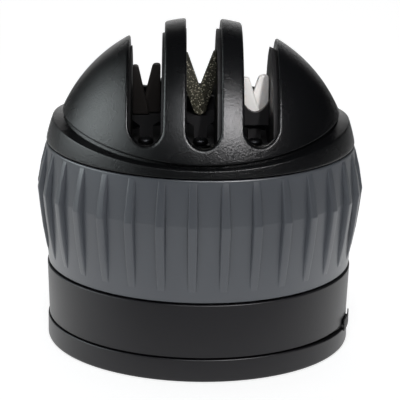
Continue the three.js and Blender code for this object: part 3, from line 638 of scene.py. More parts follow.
def settle(points: Points, quads: Points, distance: Field, cell: float) -> Points:
    """Moves vertices onto a field's surface and evens out their spacing.

    Args:
        points: The vertices.
        quads: The faces.
        distance: The field.
        cell: Longest move in one step.

    Returns:
        The settled vertices.
    """
    rounds, evened, moves, share, least_slope = 7, range(1, 5), 2, 0.5, 0.1
    edges = np.concatenate([quads[:, [k, (k + 1) % 4]] for k in range(4)])
    first, second = np.unique(np.sort(edges, axis=1), axis=0).T
    degree = np.bincount(np.concatenate([first, second]), minlength=len(points))[:, None]
    for step in range(rounds):
        if step in evened:
            total = np.column_stack([np.bincount(first, column[second], len(points))
                                     + np.bincount(second, column[first], len(points)) for column in points.T])
            points = points * (1 - share) + total / degree * share
        for _ in range(moves):
            slope = field_slope(points, distance)
            steep = np.maximum((slope ** 2).sum(axis=1), least_slope)
            points = points - np.clip(distance(points) / steep, -cell, cell)[:, None] * slope
    return points


def implicit_mesh(name: str, distance: Field, low: Points, high: Points, cell: float) -> Mesh:
    """Quad mesh of a solid given by a signed distance field, settled onto its exact surface.

    Args:
        name: The mesh's name.
        distance: Field of millimetre points, negative inside.
        low: Lowest corner of the box that holds the solid.
        high: Highest corner of it.
        cell: Size of the sampling cells.

    Returns:
        The mesh.
    """
    counts = np.ceil((high - low) / cell).astype(int) + 1
    axes = [low[i] + cell * np.arange(counts[i]) for i in range(3)]
    grid = np.stack(np.meshgrid(*axes, indexing="ij"), axis=-1)
    inside = distance(grid.reshape(-1, 3)).reshape(counts) < 0
    ends = counts - 1
    corners = sum(inside[x:ends[0] + x, y:ends[1] + y, z:ends[2] + z].astype(np.int8)
                  for x in (0, 1) for y in (0, 1) for z in (0, 1))
    active = (corners > 0) & (corners < 8)
    number = np.full(active.shape, -1)
    number[active] = np.arange(active.sum())
    points = low + (np.argwhere(active) + 0.5) * cell
    faces = []
    for axis in range(3):
        others = [a for a in range(3) if a != axis]
        places = np.argwhere(np.diff(inside, axis=axis))
        places = places[np.all([(places[:, a] > 0) & (places[:, a] < ends[a]) for a in others], axis=0)]
        quad = []
        for shift in ((-1, -1), (0, -1), (0, 0), (-1, 0)):
            shifted = places.copy()
            shifted[:, others] += shift
            quad.append(number[tuple(shifted.T)])
        faces.append(np.column_stack(quad))
    quads = np.concatenate(faces)
    return mesh_from(name, settle(points, quads, distance, cell), quads.tolist())


def exact_normals(piece: bpy.types.Object, distance: Field) -> None:
    """Shades a piece by its field's slope, so that its rounded edges show no facets.

    Args:
        piece: The object, whose mesh lies on the field's surface.
        distance: The field.
    """
    slope = field_slope(np.array([vertex.co for vertex in piece.data.vertices]) / MM, distance)
    slope /= np.maximum(np.linalg.norm(slope, axis=1), 1e-9)[:, None]
    piece.data.normals_split_custom_set_from_vertices(slope.tolist())


def round_max(first: Points, second: Points, radius: float) -> Points:
    """Intersection of two fields with a rounded outer edge.

    Args:
        first: Signed distances to one solid.
        second: Signed distances to the other.
        radius: The edge's radius.

    Returns:
        Signed distances to what they share.
    """
    both = np.hypot(np.maximum(first + radius, 0), np.maximum(second + radius, 0)) - radius
    return np.where((first > -radius) & (second > -radius), both, np.maximum(first, second))


def shape_group(name: str, inputs: dict[str, str]) -> GroupTree:
    """Starts a geometry group that takes a material besides the inputs of its own."""
    return GroupTree("Geometry", name, {"Geometry": "Geometry", **inputs, "Material": "Material"},
                     {"Geometry": "Geometry"})


def close_shape(tree: GroupTree, geometry: Socket) -> bpy.types.NodeTree:
    """Ends a geometry group with real geometry in its material.

    Args:
        tree: The group.
        geometry: The socket with the finished shape.

    Returns:
        The tree.
    """
    real = tree.add("GeometryNodeRealizeInstances", {"Geometry": geometry})
    dressed = tree.add("GeometryNodeSetMaterial",
                       {"Geometry": real.outputs[0], "Material": tree.given["Material"]})
    return tree.close(Geometry=dressed.outputs[0])


def circle_tree() -> bpy.types.NodeTree:
    """Tree that stands copies of a shape round a circle about Z, their own +Y outwards.

    Inputs: Shape, Count, Radius, Height, First (turn of the first copy from the front) and Material.

    Returns:
        The finished tree.
    """
    tree = shape_group("round_a_circle", {"Shape": "Object", "Count": "Int", "Radius": "Float",
                                          "Height": "Float", "First": "Float"})
    given = tree.given
    shape = tree.add("GeometryNodeObjectInfo", {"Object": given["Shape"]})
    line = tree.add("GeometryNodeMeshLine", {"Count": given["Count"], "Offset": (0.0, 0.0, 0.0)})
    index = tree.add("GeometryNodeInputIndex").outputs[0]
    step = tree.maths("DIVIDE", TURN, given["Count"])
    turn = tree.maths("ADD", tree.maths("MULTIPLY", index, step), given["First"])
    x = tree.maths("MULTIPLY", tree.maths("SINE", turn), given["Radius"])
    y = tree.maths("MULTIPLY", tree.maths("MULTIPLY", tree.maths("COSINE", turn), given["Radius"]), -1.0)
    place = tree.add("ShaderNodeCombineXYZ", {"X": x, "Y": y, "Z": given["Height"]})
    points = tree.add("GeometryNodeSetPosition", {"Geometry": line.outputs[0], "Position": place.outputs[0]})
    facing = tree.add("ShaderNodeCombineXYZ", {"Z": tree.maths("ADD", turn, math.pi)})
    copies = tree.add("GeometryNodeInstanceOnPoints",
                      {"Points": points.outputs[0], "Instance": shape.outputs["Geometry"],
                       "Rotation": facing.outputs[0]})
    return close_shape(tree, copies.outputs[0])


def places_tree() -> bpy.types.NodeTree:
    """Tree that stands a copy of a shape on each vertex of the mesh it starts from.

    Inputs: Shape and Material.

    Returns:
        The finished tree.
    """
    tree = shape_group("on_places", {"Shape": "Object"})
    shape = tree.add("GeometryNodeObjectInfo", {"Object": tree.given["Shape"]})
    copies = tree.add("GeometryNodeInstanceOnPoints",
                      {"Points": tree.given["Geometry"], "Instance": shape.outputs["Geometry"]})
    return close_shape(tree, copies.outputs[0])


def coil_tree() -> bpy.types.NodeTree:
    """Tree that winds a round wire into a coil about Z.

    Inputs: Turns, Radius, Low, Length, Wire (the wire's radius) and Material.

    Returns:
        The finished tree.
    """
    tree = shape_group("coil", dict.fromkeys(("Turns", "Radius", "Low", "Length", "Wire"), "Float"))
    given = tree.given
    helix = tree.add("GeometryNodeCurveSpiral",
                     {"Resolution": 20, "Rotations": given["Turns"], "Start Radius": given["Radius"],
                      "End Radius": given["Radius"], "Height": given["Length"]})
    lift = tree.add("ShaderNodeCombineXYZ", {"Z": given["Low"]})
    raised = tree.add("GeometryNodeTransform", {"Geometry": helix.outputs[0], "Translation": lift.outputs[0]})
    section = tree.add("GeometryNodeCurvePrimitiveCircle", {"Resolution": 8, "Radius": given["Wire"]})
    wire = tree.add("GeometryNodeCurveToMesh",
                    {"Curve": raised.outputs[0], "Profile Curve": section.outputs[0], "Fill Caps": True})
    return close_shape(tree, wire.outputs[0])


def baked(name: str, tree: bpy.types.NodeTree, values: dict[str, object], carrier: Mesh | None = None) -> Mesh:
    """Runs a geometry tree with the given inputs and keeps its result as a plain mesh.

    Args:
        name: The new mesh's name.
        tree: The geometry node tree.
        values: Input values by the inputs' names.
        carrier: Mesh that the tree starts from, or none.

    Returns:
        The result.
    """
    holder = placed(name + "_holder", carrier or bpy.data.meshes.new(name + "_seed"))
    modifier = holder.modifiers.new("nodes", "NODES")
    modifier.node_group = tree
    for item in tree.interface.items_tree:
        if item.item_type == "SOCKET" and item.in_out == "INPUT" and item.name in values:
            modifier[item.identifier] = values[item.name]
    holder.update_tag()
    mesh = evaluated(holder)
    mesh.name = name
    return mesh


class Repeater:
    """Keeps the trees that repeat a shape, and bakes rows of copies with them."""

    def __init__(self) -> None:
        """Builds the trees."""
        self._circle, self._places = circle_tree(), places_tree()

    @staticmethod
    def _copies(name: str, tree: bpy.types.NodeTree, shape: Mesh, finish: Finish, values: dict[str, object],
                carrier: Mesh | None = None) -> Mesh:
        """Copies of a shape as one mesh.

        Args:
            name: The new mesh's name.
            tree: The tree that places them.
            shape: The shape, standing at the origin.
            finish: Its finish.
            values: The tree's other inputs.
            carrier: Mesh that the tree starts from, or none.

        Returns:
            The mesh.
        """
        source = bpy.data.objects.new(name + "_shape", shape)
        mesh = baked(name, tree, {"Shape": source, "Material": finish.material(), **values}, carrier)
        bpy.data.objects.remove(source)
        return mesh

    def round_circle(self, name: str, shape: Mesh, finish: Finish, count: int, radius: float, height: float,
                     first: float) -> Mesh:
        """Copies of a shape round a circle, their +Y outwards, the first at a turn from the front."""
        return self._copies(name, self._circle, shape, finish,
                            {"Count": count, "Radius": radius * MM, "Height": height * MM, "First": first})

    def on_nodes(self, name: str, shape: Mesh, finish: Finish, body: Body, nodes: Sequence[str],
                 level: Callable[[float, float], float]) -> None:
        """Adds a piece with a copy of a shape on the axis of each of some frame nodes, in their place.

        Args:
            name: The piece's name.
            shape: The shape, standing at the origin.
            finish: Its finish.
            body: The body that it rides on.
            nodes: The frame nodes.
            level: Gives the height of a copy's origin from the node's lowest and highest Z.
        """
        carrier = bpy.data.meshes.new(name + "_places")
        places = [(*((low + high) / 2)[:2], level(low[2], high[2])) for low, high in map(node_box, nodes)]
        carrier.from_pydata([[value * MM for value in place] for place in places], [], [])
        mesh = self._copies(name, self._places, shape, finish, {}, carrier)
        add_piece(name, mesh, finish, body, *nodes)

    def screws(self, name: str, nodes: Sequence[str], body: Body, head_height: float, downwards: bool = True,
               finish: Finish = PLATED_STEEL) -> None:
        """Adds cross-slotted screws in place of the frame's plain ones, one piece for the row.

        Args:
            name: The piece's name.
            nodes: The frame's screws.
            body: The body that they move with.
            head_height: Height of a head.
            downwards: Whether the screws are driven from above.
            finish: Their finish.
        """
        size = np.subtract(*node_box(nodes[0])[::-1])
        radius, shank_share = size[0] / 2, 0.55
        shape = cross_head(name + "_one", radius, head_height, radius * shank_share, size[2] - head_height)
        if not downwards:
            shape.transform(Matrix.Rotation(math.pi, 4, "X"))
        self.on_nodes(name, shape, finish, body, nodes,
                      lambda low, high: high - head_height if downwards else low + head_height)


repeat = Repeater()


def cross_head(name: str, head: float, height: float, shank: float, length: float, flat: bool = False) -> Mesh:
    """Cross-slotted screw that points down, its head's underside at the origin.

    Args:
        name: The mesh's name.
        head: Radius of the head.
        height: Height of the head.
        shank: Radius of the threaded shank.
        length: Length of the shank.
        flat: Whether the head is a low cylinder and not a dome.

    Returns:
        The mesh.
    """
    sides, rows, pitch_aim, cross_width, cross_reach, web_reach = 24, 7, 0.9, 0.55, 0.92, 0.3
    core, crown, threaded = shank * 0.8, height * (0.8 if flat else 0.45), length * 0.85
    recess, depth = head * 0.5, height * 0.55
    outline: Profile = [(0.0, -length), (shank * 0.45, -length), (core, -length * 0.93)]
    turns = max(3, int(length / pitch_aim))
    pitch = threaded / turns
    for k in range(turns):
        root = -length * 0.9 + pitch * k
        outline += [(core, root), (shank, root + pitch * 0.5)]
    outline += [(core, 0.0), (head * 0.96, 0.0), (head, height * 0.08)]
    for k in range(rows):
        turn = k / (rows - 1) * math.pi / 2
        outline.append((recess + (head - recess) * math.cos(turn), crown + (height - crown) * math.sin(turn)))
    count, points, floor = len(outline), [], []
    for k in range(sides):
        azimuth = TURN * (k + 0.5) / sides
        points += [(*at_turn(radius, azimuth), z) for radius, z in outline]
        reach = recess * (cross_reach if abs(math.sin(2 * azimuth)) < cross_width else web_reach)
        floor += [(*at_turn(reach, azimuth), level) for level in (height, height - depth)]
    start = len(points)
    faces = grid_faces(sides, count, round_rows=False)
    for i in range(sides):
        upper, following = start + 2 * i, start + 2 * ((i + 1) % sides)
        rim, next_rim = i * count + count - 1, (i + 1) % sides * count + count - 1
        faces += [[rim, next_rim, following, upper], [upper, following, following + 1, upper + 1]]
    faces.append([start + 2 * i + 1 for i in range(sides)])
    return mesh_from(name, np.array(points + floor), faces)


def dress_nodes(finish: Finish, *names: str) -> None:
    """Gives frame nodes that stay shown a finish of their own.

    Args:
        finish: The finish.
        names: The nodes' names.
    """
    for name in names:
        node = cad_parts[name]
        if not node.material_slots:
            node.data.materials.append(finish.material())
        for place in node.material_slots:
            place.link = "OBJECT"
            place.material = finish.material()


# Sub-assemblies, from the worktop upwards

_, FOOT_HIGH = node_box("foot_ring")
BASE_LOW, BASE_HIGH = node_box("base_housing")
SLEEVE_LOW, SLEEVE_HIGH = node_box("grip_sleeve")
COLLAR_LOW, _ = node_box("collar_ring")
DOME_LOW, DOME_HIGH = node_box("dome_cover")


@dataclass
class SuctionFoot:
    """Foot ring, base housing and the rubber cup clamped between them."""

    edge: float = 0.9
    rim_wall: float = 1.1
    crescent_centre: float = math.radians(80)
    crescent_half: float = math.radians(50)
    crescent_drop: float = 0.85
    screw_count: int = 4
    screw_turn: float = math.radians(45)
    screw_head: float = 1.3
    counterbore_radius: float = 1.8
    counterbore_depth: float = 2.6
    base_draft: float = 0.5
    base_wall: float = 2.2
    base_deck: float = 2.4
    base_bore: float = 8.7
    skirt: float = 31.9
    skirt_gap: float = 0.3
    clamp: float = 1.5
    flange_drop: float = 0.3
    flange_height: float = 0.6
    flange_back: float = 1.4
    flange_shown: float = 0.3
    tab_half: float = math.radians(7)
    tab_gap: float = 0.12
    tab_reach: float = 0.3
    tab_height: float = 3.0
    tab_steps: int = 16
    boss: float = 8.5
    boss_wall: float = 2.6
    boss_top: float = 8.8

    def build(self) -> None:
        """Builds the foot's pieces."""
        self._foot_ring()
        self._base_housing()
        self._suction_cup()
        self._foot_screws()

    @property
    def _bore(self) -> float:
        """Radius of the foot ring's bore."""
        return self.skirt + self.skirt_gap

    @property
    def _screw_circle(self) -> float:
        """Radius of the circle that the screws stand on."""
        return (self._bore + FOOT_HIGH[0] - self.rim_wall) / 2

    def _lean(self, azimuth: float) -> float:
        """Hump of height 1 round the crescent's middle, falling to nothing at its ends."""
        off = (azimuth - self.crescent_centre + math.pi) % TURN - math.pi
        return math.cos(min(abs(off) / self.crescent_half, 1.0) * math.pi / 2) ** 2

    def _foot_ring(self) -> None:
        """Foot ring with a rounded bottom edge, a crisp rim and four counterbores."""
        radius, top, bore = FOOT_HIGH[0], FOOT_HIGH[2], self._bore
        recess, rim_inner = top - self.crescent_drop - 0.15, radius - self.rim_wall

        def section(azimuth: float) -> Profile:
            """Foot ring's section, its rim dipping towards the cup's tab."""
            rim = top - self.crescent_drop * self._lean(azimuth)
            return rounded_profile([(bore, 0, 0.3), (radius, 0, self.edge), (radius, rim, 0.35),
                                    (rim_inner, rim, 0.1), (rim_inner, recess, 0), (bore, recess, 0.1)])

        places = [at_turn(self._screw_circle, self.screw_turn + TURN * k / self.screw_count)
                  for k in range(self.screw_count)]
        mesh = drilled(swept_ring("foot_ring_moulding", section), places, self.counterbore_radius, -1.0,
                       self.counterbore_depth)
        add_piece("foot_ring_moulding", mesh, BASE_BLACK, Body.ROOT, "foot_ring")

    def _base_housing(self) -> None:
        """Base band: a drafted wall with a small edge break, closed by its deck."""
        high_radius, top, bottom = BASE_HIGH[0], BASE_HIGH[2], BASE_LOW[2]
        low_radius, under = high_radius - self.base_draft, top - self.base_deck
        mesh = turned("base_band", [
            (low_radius - self.base_wall, bottom, 0.2), (low_radius, bottom, 0.25), (high_radius, top, 0.35),
            (self.base_bore, top, 0.2), (self.base_bore, under, 0.2),
            (high_radius - self.base_wall, under, 1.2)])
        add_piece("base_band", mesh, BASE_BLACK, Body.ROOT, "base_housing")

    def _tab_outline(self, outer: float, inner: float) -> Profile:
        """Outline of a bowed block before the crescent's middle, between two radii."""
        turns = [self.crescent_centre + self.tab_half * (2 * k / self.tab_steps - 1)
                 for k in range(self.tab_steps + 1)]
        return [at_turn(outer, turn) for turn in turns] + [at_turn(inner, turn) for turn in turns[::-1]]

    def _suction_cup(self) -> None:
        """Rubber cup: clamped rim with its pull tab, then the skirt, lip and membrane as one still mesh."""
        skirt, inner, foot = self.skirt, self.skirt - self.clamp, FOOT_HIGH[0]
        top = BASE_LOW[2] - self.flange_drop
        low = top - self.flange_height
        reach, shown = foot - self.flange_back, foot - self.flange_shown

        def rim(azimuth: float) -> Profile:
            """Clamped rim's section, reaching out to the seam where the foot ring dips."""
            outer = reach + (shown - reach) * max(0.0, self._lean(azimuth) * 4 - 3)
            return rounded_profile([(skirt, low, 0), (outer, low, 0.2), (outer, top, 0.2), (inner, top, 0.2),
                                    (inner, low, 0)])

        tab_inner, half = foot + self.tab_gap, self.tab_height / 2
        outline = self._tab_outline(tab_inner + self.tab_reach, tab_inner)
        tab = prism("cup_tab", outline, top - half, top + half, 0.13)
        stem = prism("cup_stem", self._tab_outline(tab_inner + self.tab_reach / 2, skirt), low, top, 0.1)
        clamped = joined("suction_cup_rim", [swept_ring("cup_rim", rim), tab, stem])
        add_piece("suction_cup_rim", clamped, BLACK_RUBBER, Body.ROOT, "suction_cup")

        mesh = turned("suction_cup_membrane", [
            (inner, low + 0.02, 0), (skirt, low + 0.02, 0), (skirt, 0.35, 0.25), (skirt - 3, 0.35, 0.5),
            (skirt - 8, 1.15, 2.0), (7.0, 1.5, 1.0), (0.0, 1.5, 0), (0.0, 3.6, 0),
            (self.boss - self.boss_wall, 3.6, 0.2), (self.boss - self.boss_wall, self.boss_top, 0.2),
            (self.boss, self.boss_top, 0.6), (self.boss, 3.3, 0.8), (inner, 2.0, 0.8)], HIDDEN_SIDES)
        cup = finish_object("suction_cup_membrane", mesh, BLACK_RUBBER)
        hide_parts("suction_cup")
        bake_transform(cup)

    def _foot_screws(self) -> None:
        """Four screws up into the base, their heads down in the counterbores."""
        low, high = node_box("foot_screw_1")
        length = high[2] - low[2] - self.screw_head
        shape = cross_head("foot_screw", 1.5, self.screw_head, 0.9, length, flat=True)
        shape.transform(Matrix.Rotation(math.pi, 4, "X"))
        mesh = repeat.round_circle("foot_screws", shape, PLATED_STEEL, self.screw_count, self._screw_circle,
                                   low[2] + self.screw_head, self.screw_turn)
        add_piece("foot_screws", mesh, PLATED_STEEL, Body.ROOT,
                  *(f"foot_screw_{k + 1}" for k in range(self.screw_count)))


@dataclass
class TwistGrip:
    """Twist ring: a ribbed soft sleeve whose crease runs round it a third of the way down."""

    rib_count: int = 32
    rib_first: float = math.radians(-2.9)
    rib_low_above: float = 2.7
    rib_top_below: float = 0.6
    rib_crease_width: float = 2.1
    rib_end_width: float = 1.4
    rib_flank: float = 0.26
    rib_proud: float = 1.42
    rib_sunk: float = 0.9
    rib_bite: float = 0.03
    crease_drop: float = 11.0
    crease_radius: float = 38.95
    low_radius: float = 37.5
    top_radius: float = 38.0
    bore: float = 35.6
    crease_rounding: float = 0.12
    edge: float = 0.5

    def build(self) -> None:
        """Builds the sleeve, its ribs and the cam ring's screws."""
        low, top = SLEEVE_LOW[2], SLEEVE_HIGH[2]
        sleeve = turned("grip_sleeve_skin", [
            (self.bore, low, 0.2), (self.low_radius, low, self.edge),
            (self.crease_radius, self._crease, self.crease_rounding), (self.top_radius, top, self.edge),
            (self.bore, top, 0.2)])
        ribs = repeat.round_circle("grip_ribs", self._rib(), SLATE_RUBBER, self.rib_count, 0.0, 0.0,
                                   self.rib_first)
        skin = joined("grip_sleeve_skin", [sleeve, ribs])
        add_piece("grip_sleeve_skin", skin, SLATE_RUBBER, Body.GRIP, "grip_sleeve")
        repeat.screws("cam_screws", [f"cam_screw_{k + 1}" for k in range(3)], Body.GRIP, 1.0, downwards=False)

    @property
    def _crease(self) -> float:
        """Height of the crease."""
        return SLEEVE_HIGH[2] - self.crease_drop

    def _skin_radius(self, z: float) -> float:
        """Sleeve's outer radius at a height."""
        return float(np.interp(z, (SLEEVE_LOW[2], self._crease, SLEEVE_HIGH[2]),
                               (self.low_radius, self.crease_radius, self.top_radius)))

    def _rib(self) -> Mesh:
        """One wedge rib on the sleeve's +Y side: widest and proudest at the crease, gone at both ends.

        Returns:
            The mesh.
        """
        low, top, crease = SLEEVE_LOW[2] + self.rib_low_above, SLEEVE_HIGH[2] - self.rib_top_below, self._crease
        rises = [(low, 0.0), (low + 1.6, 0.26), (low + (crease - low) * 0.4, 0.66),
                 (low + (crease - low) * 0.7, 0.87), (crease - 0.25, 0.99), (crease, 1.0),
                 (crease + 0.2, 0.985), ((crease + top) / 2, 0.7), (top - 1.2, 0.24), (top, 0.0)]
        flank_lifts = ((1.0, 0.0), (0.45, 0.74), (0.1, 0.89), (-0.6, 0.975), (-1.5, 1.0))
        points = []
        for z, rise in rises:
            half = (self.rib_end_width + (self.rib_crease_width - self.rib_end_width) * rise) / 2
            foot, proud = self._skin_radius(z) - self.rib_bite, self.rib_proud * rise
            across = [(half + self.rib_flank * part, foot + proud * lift) for part, lift in flank_lifts]
            across.append((half, foot - self.rib_sunk))
            section = [(-x, y) for x, y in across[:-1]] + across[:-1][::-1]
            points += [(x, y, z) for x, y in section + [across[-1], (-half, across[-1][1])]]
        last, loop = len(rises) - 1, len(points) // len(rises)
        faces = grid_faces(last + 1, loop, round_columns=False)
        faces += [list(range(loop)), [last * loop + j for j in range(loop - 1, -1, -1)]]
        return mesh_from("grip_rib", np.array(points), faces)


@dataclass
class DomeHead:
    """Glossy head: the collar ring, the slotted dome and the parts under them."""

    centre: float = 42.9
    radius: float = 37.2
    wall: float = 2.2
    groove_depth: float = 1.0
    edge_low: float = 52.9
    edge_rise: float = 4.6
    collar_radius: float = 38.8
    clearance: float = 0.15
    floor_rise: float = 0.2
    collar_low: float = 52.1
    collar_rise: float = 3.97
    collar_rows: int = 6
    seam: float = 0.4
    spigot_radius: float = 33.0
    spigot_bore: float = 27.0
    lip: float = 0.18
    skirt_cover: float = 0.9
    skirt_rows: int = 5
    slot_centres: tuple[float, float, float] = (-13.43, 0.28, 13.99)
    slot_bottom: float = 56.4
    slot_half: float = 4.1
    slot_spread: float = 0.2
    slot_overrun: float = 3.0
    slot_edge: float = 0.6
    edge_rounding: float = 0.5
    cell: float = 0.36

    def build(self) -> None:
        """Builds the head's pieces."""
        self._collar()
        self._dome()
        for name, count, height, downwards in (("head_screw", 4, 1.1, False), ("tower_screw", 3, 1.0, True),
                                               ("carrier_screw", 2, 1.1, True)):
            nodes = [f"{name}_{k + 1}" for k in range(count)]
            repeat.screws(name + "s", nodes, Body.ROOT, height, downwards=downwards)

    @staticmethod
    def _edge(azimuth: float, low: float, rise: float) -> float:
        """Height of an edge line that climbs towards the head's sides."""
        return low + rise * math.sin(azimuth) ** 2

    def _on_sphere(self, radius: float, heights: Sequence[float]) -> Profile:
        """Points of a sphere about the head's centre at some heights."""
        return [(math.sqrt(radius ** 2 - (z - self.centre) ** 2), z) for z in heights]

    def _collar(self) -> None:
        """Collar ring: a spherical band whose rounded lip climbs at the sides."""
        bottom, foot, ledge = SLEEVE_HIGH[2] + self.seam, COLLAR_LOW[2], DOME_LOW[2] - 0.3

        def section(azimuth: float) -> Profile:
            """Collar's section, its lip higher at the head's sides.

            Args:
                azimuth: Turn from the front towards +X.

            Returns:
                The section's points.
            """
            lip = self._edge(azimuth, self.collar_low, self.collar_rise)
            heights = [bottom + (lip - bottom) * k / self.collar_rows for k in range(self.collar_rows + 1)]
            outer, floor = self._on_sphere(self.collar_radius, heights), lip + self.floor_rise
            inner = self._on_sphere(self.radius - self.groove_depth + self.clearance, (
                floor, floor + (ledge - floor) / 3, ledge + (floor - ledge) / 3, ledge))
            return rounded_profile([
                (self.spigot_bore, foot, 0.2), (self.spigot_radius, foot, 0.2),
                (self.spigot_radius, bottom, 0.0), (outer[0][0], bottom, 0.35),
                *((r, z, 0.0) for r, z in outer[1:-1]), (outer[-1][0], lip, self.lip),
                *((r, z, 0.0) for r, z in inner), (self.spigot_bore, ledge, 0.1)])

        add_piece("collar_band", swept_ring("collar_band", section), HEAD_BLACK, Body.ROOT, "collar_ring")

    def _slot_field(self, points: Points) -> Points:
        """Signed distance to the slots, negative inside any of them.

        Args:
            points: The places.

        Returns:
            One distance for each.
        """
        x, z = points[:, 0], points[:, 2]
        top = DOME_HIGH[2] + self.slot_overrun
        part = np.clip((z - self.slot_bottom) / (top - self.slot_bottom), 0, 1)
        half = self.slot_half + self.slot_spread * part
        low = np.minimum(z - (self.slot_bottom + half), 0)
        return np.min([np.hypot(x - centre, low) - half for centre in self.slot_centres], axis=0)

    def _dome_field(self, points: Points) -> Points:
        """Signed distance to the dome's crown: a shell above its edge line, with three open slots.

        Args:
            points: The places.

        Returns:
            One distance for each.
        """
        x, y, z = points.T
        reach = np.sqrt(x ** 2 + y ** 2 + (z - self.centre) ** 2)
        edge = self.edge_low + self.edge_rise * x ** 2 / np.maximum(x ** 2 + y ** 2, 1e-9)
        crown = round_max(reach - self.radius, edge - z, self.edge_rounding)
        shell = np.maximum(crown, (self.radius - self.wall) - reach)
        return round_max(shell, -self._slot_field(points), self.slot_edge)

    def _dome(self) -> None:
        """Dome cover: a crown meshed from its field, so that each slot edge is rounded, and its skirt."""
        def section(azimuth: float) -> Profile:
            """Skirt's section, from its foot up to where the crown covers it.

            Args:
                azimuth: Turn from the front towards +X.

            Returns:
                The section's points.
            """
            bottom, top = DOME_LOW[2], self._edge(azimuth, self.edge_low, self.edge_rise) + self.skirt_cover
            heights = [bottom + (top - bottom) * k / self.skirt_rows for k in range(self.skirt_rows + 1)]
            inner = self._on_sphere(self.radius - self.wall + 0.02, heights)
            return self._on_sphere(self.radius - self.groove_depth, heights) + inner[::-1]

        add_piece("dome_skirt", swept_ring("dome_skirt", section), HEAD_BLACK, Body.ROOT, "dome_cover")
        low, high = DOME_LOW - 2 * self.cell, DOME_HIGH + 2 * self.cell
        crown = implicit_mesh("dome_crown", self._dome_field, low, high, self.cell)
        piece = add_piece("dome_crown", crown, HEAD_BLACK, Body.ROOT, "dome_cover", crisp=None)
        exact_normals(piece, self._dome_field)


@dataclass(frozen=True)
class VShape:
    """Sizes of a pair of sharpening tools that cross in a V."""

    top: float
    bottom: float
    apex: float
    half_mouth: float
    offset: float


@dataclass
class SharpeningStages:
    """Carrier with three slots: carbide plates, diamond arms and ceramic bars on their holders."""

    half_width: float = 3.4
    arm_limit: float = 3.7
    arm_width: float = 3.3
    arm_corner: float = 0.9
    arm_steps: int = 14
    tool_edge: float = 0.22
    plate_corner: float = 1.1
    coarse: VShape = VShape(69.0, 56.8, 61.4, 1.8, -0.34)
    medium: VShape = VShape(72.2, 57.0, 63.4, 3.2, -0.17)
    fine: VShape = VShape(66.3, 56.6, 62.2, 1.3, -0.3)
    stage_centres: tuple[float, float, float] = (-13.46, -0.13, 13.2)

    def build(self) -> None:
        """Dresses the carrier and holders, and builds the tools, their screws and washers."""
        dress_nodes(DARK_NYLON, "stage_carrier", "coarse_holder", "medium_holder", "fine_holder")
        left, middle, right = self.stage_centres
        for side in Side:
            self._tool("carbide_plate", self._sloped(left, side, self.coarse), side, DARK_CARBIDE)
            self._tool("diamond_arm", self._arm(middle, side, self.medium), side, DIAMOND_COAT)
            self._tool("ceramic_bar", self._sloped(right, side, self.fine), side, WHITE_CERAMIC)
        repeat.screws("stage_screws", ["coarse_screw", "medium_screw", "fine_screw"], Body.ROOT, 1.3,
                      finish=OXIDE_STEEL)
        self._washers()

    def _tool(self, kind: str, outline: Profile, side: Side, finish: Finish) -> None:
        """One sharpening tool as a plate with rounded edges.

        Args:
            kind: Name of the frame's node that it stands for, without its side.
            outline: Its outline in the XZ plane.
            side: Its side of the V.
            finish: Its finish.
        """
        node = f"{kind}_{side.name.lower()}"
        low, high = node_box(node)
        mesh = prism(node + "_tool", outline, low[1], high[1], self.tool_edge, upright=False)
        add_piece(node + "_tool", mesh, finish, Body.ROOT, node, crisp=40.0)

    def _sloped(self, centre: float, side: Side, sizes: VShape) -> Profile:
        """Outline of a plate whose inner edge slopes, its top corners rounded.

        Args:
            centre: X of the slot's middle.
            side: The plate's side.
            sizes: Sizes of its pair.

        Returns:
            The outline's points.
        """
        sign, middle = side.value, centre + sizes.offset
        lean = sizes.half_mouth / (sizes.top - sizes.apex)
        foot = middle - sign * lean * (sizes.apex - sizes.bottom)
        outer, mouth = centre + sign * self.half_width, middle + sign * sizes.half_mouth
        corner = min(self.plate_corner, abs(outer - mouth) * 0.9)
        return rounded_profile([(outer, sizes.bottom, 0.0), (outer, sizes.top, corner),
                                (mouth, sizes.top, corner), (foot, sizes.bottom, 0.0)])

    def _arm(self, centre: float, side: Side, sizes: VShape) -> Profile:
        """Outline of a diamond arm: a leaning bar with a round foot, cut off at the liner wall.

        Args:
            centre: X of the slot's middle.
            side: The arm's side.
            sizes: Sizes of its pair.

        Returns:
            The outline's points.
        """
        sign, radius = side.value, self.arm_width / 2
        lean = math.atan(sizes.half_mouth / (sizes.top - sizes.apex))
        along = np.array([sign * math.sin(lean), math.cos(lean)])
        across = np.array([sign * math.cos(lean), -math.sin(lean)])
        axis = np.array([centre + sizes.offset, sizes.apex]) + across * radius
        foot = axis - along * (axis[1] - sizes.bottom - radius) / along[1]
        limit, start = centre + sign * self.arm_limit, math.atan2(across[1], across[0])
        turns = [start - sign * math.pi * k / self.arm_steps for k in range(self.arm_steps + 1)]
        points = [foot + radius * np.array([math.cos(turn), math.sin(turn)]) for turn in turns]
        outer, inner = points[0], points[-1]
        inner_top = inner + along * (sizes.top - inner[1]) / along[1]
        room = max(0.0, (limit - outer[0]) * sign)
        reach = min(sizes.top - outer[1], room / max(abs(along[0]), 1e-6) * along[1])
        shoulder = outer[1] + reach
        bow = [(float(x) if (x - limit) * sign < 0 else limit, float(z)) for x, z in points]
        return bow + rounded_profile([
            (*inner_top, self.arm_corner), (limit, sizes.top, self.arm_corner), (limit, shoulder, 0.0),
            (*bow[0], 0.0), (*bow[-1], 0.0)])[:-2]

    @staticmethod
    def _washers() -> None:
        """Round washers with a chamfered edge under the stage screws' heads."""
        names = ["coarse_washer", "medium_washer", "fine_washer"]
        size = np.subtract(*node_box(names[0])[::-1])
        radius, bore, height = size[0] / 2, size[0] / 4, size[2]
        shape = turned("washer_one", [(bore, 0.0, 0.0), (radius, 0.0, 0.1), (radius, height, 0.15),
                                      (bore, height, 0.1)], sides=32, steps=2)
        repeat.on_nodes("washers", shape, OXIDE_STEEL, Body.ROOT, names, lambda low, high: low)


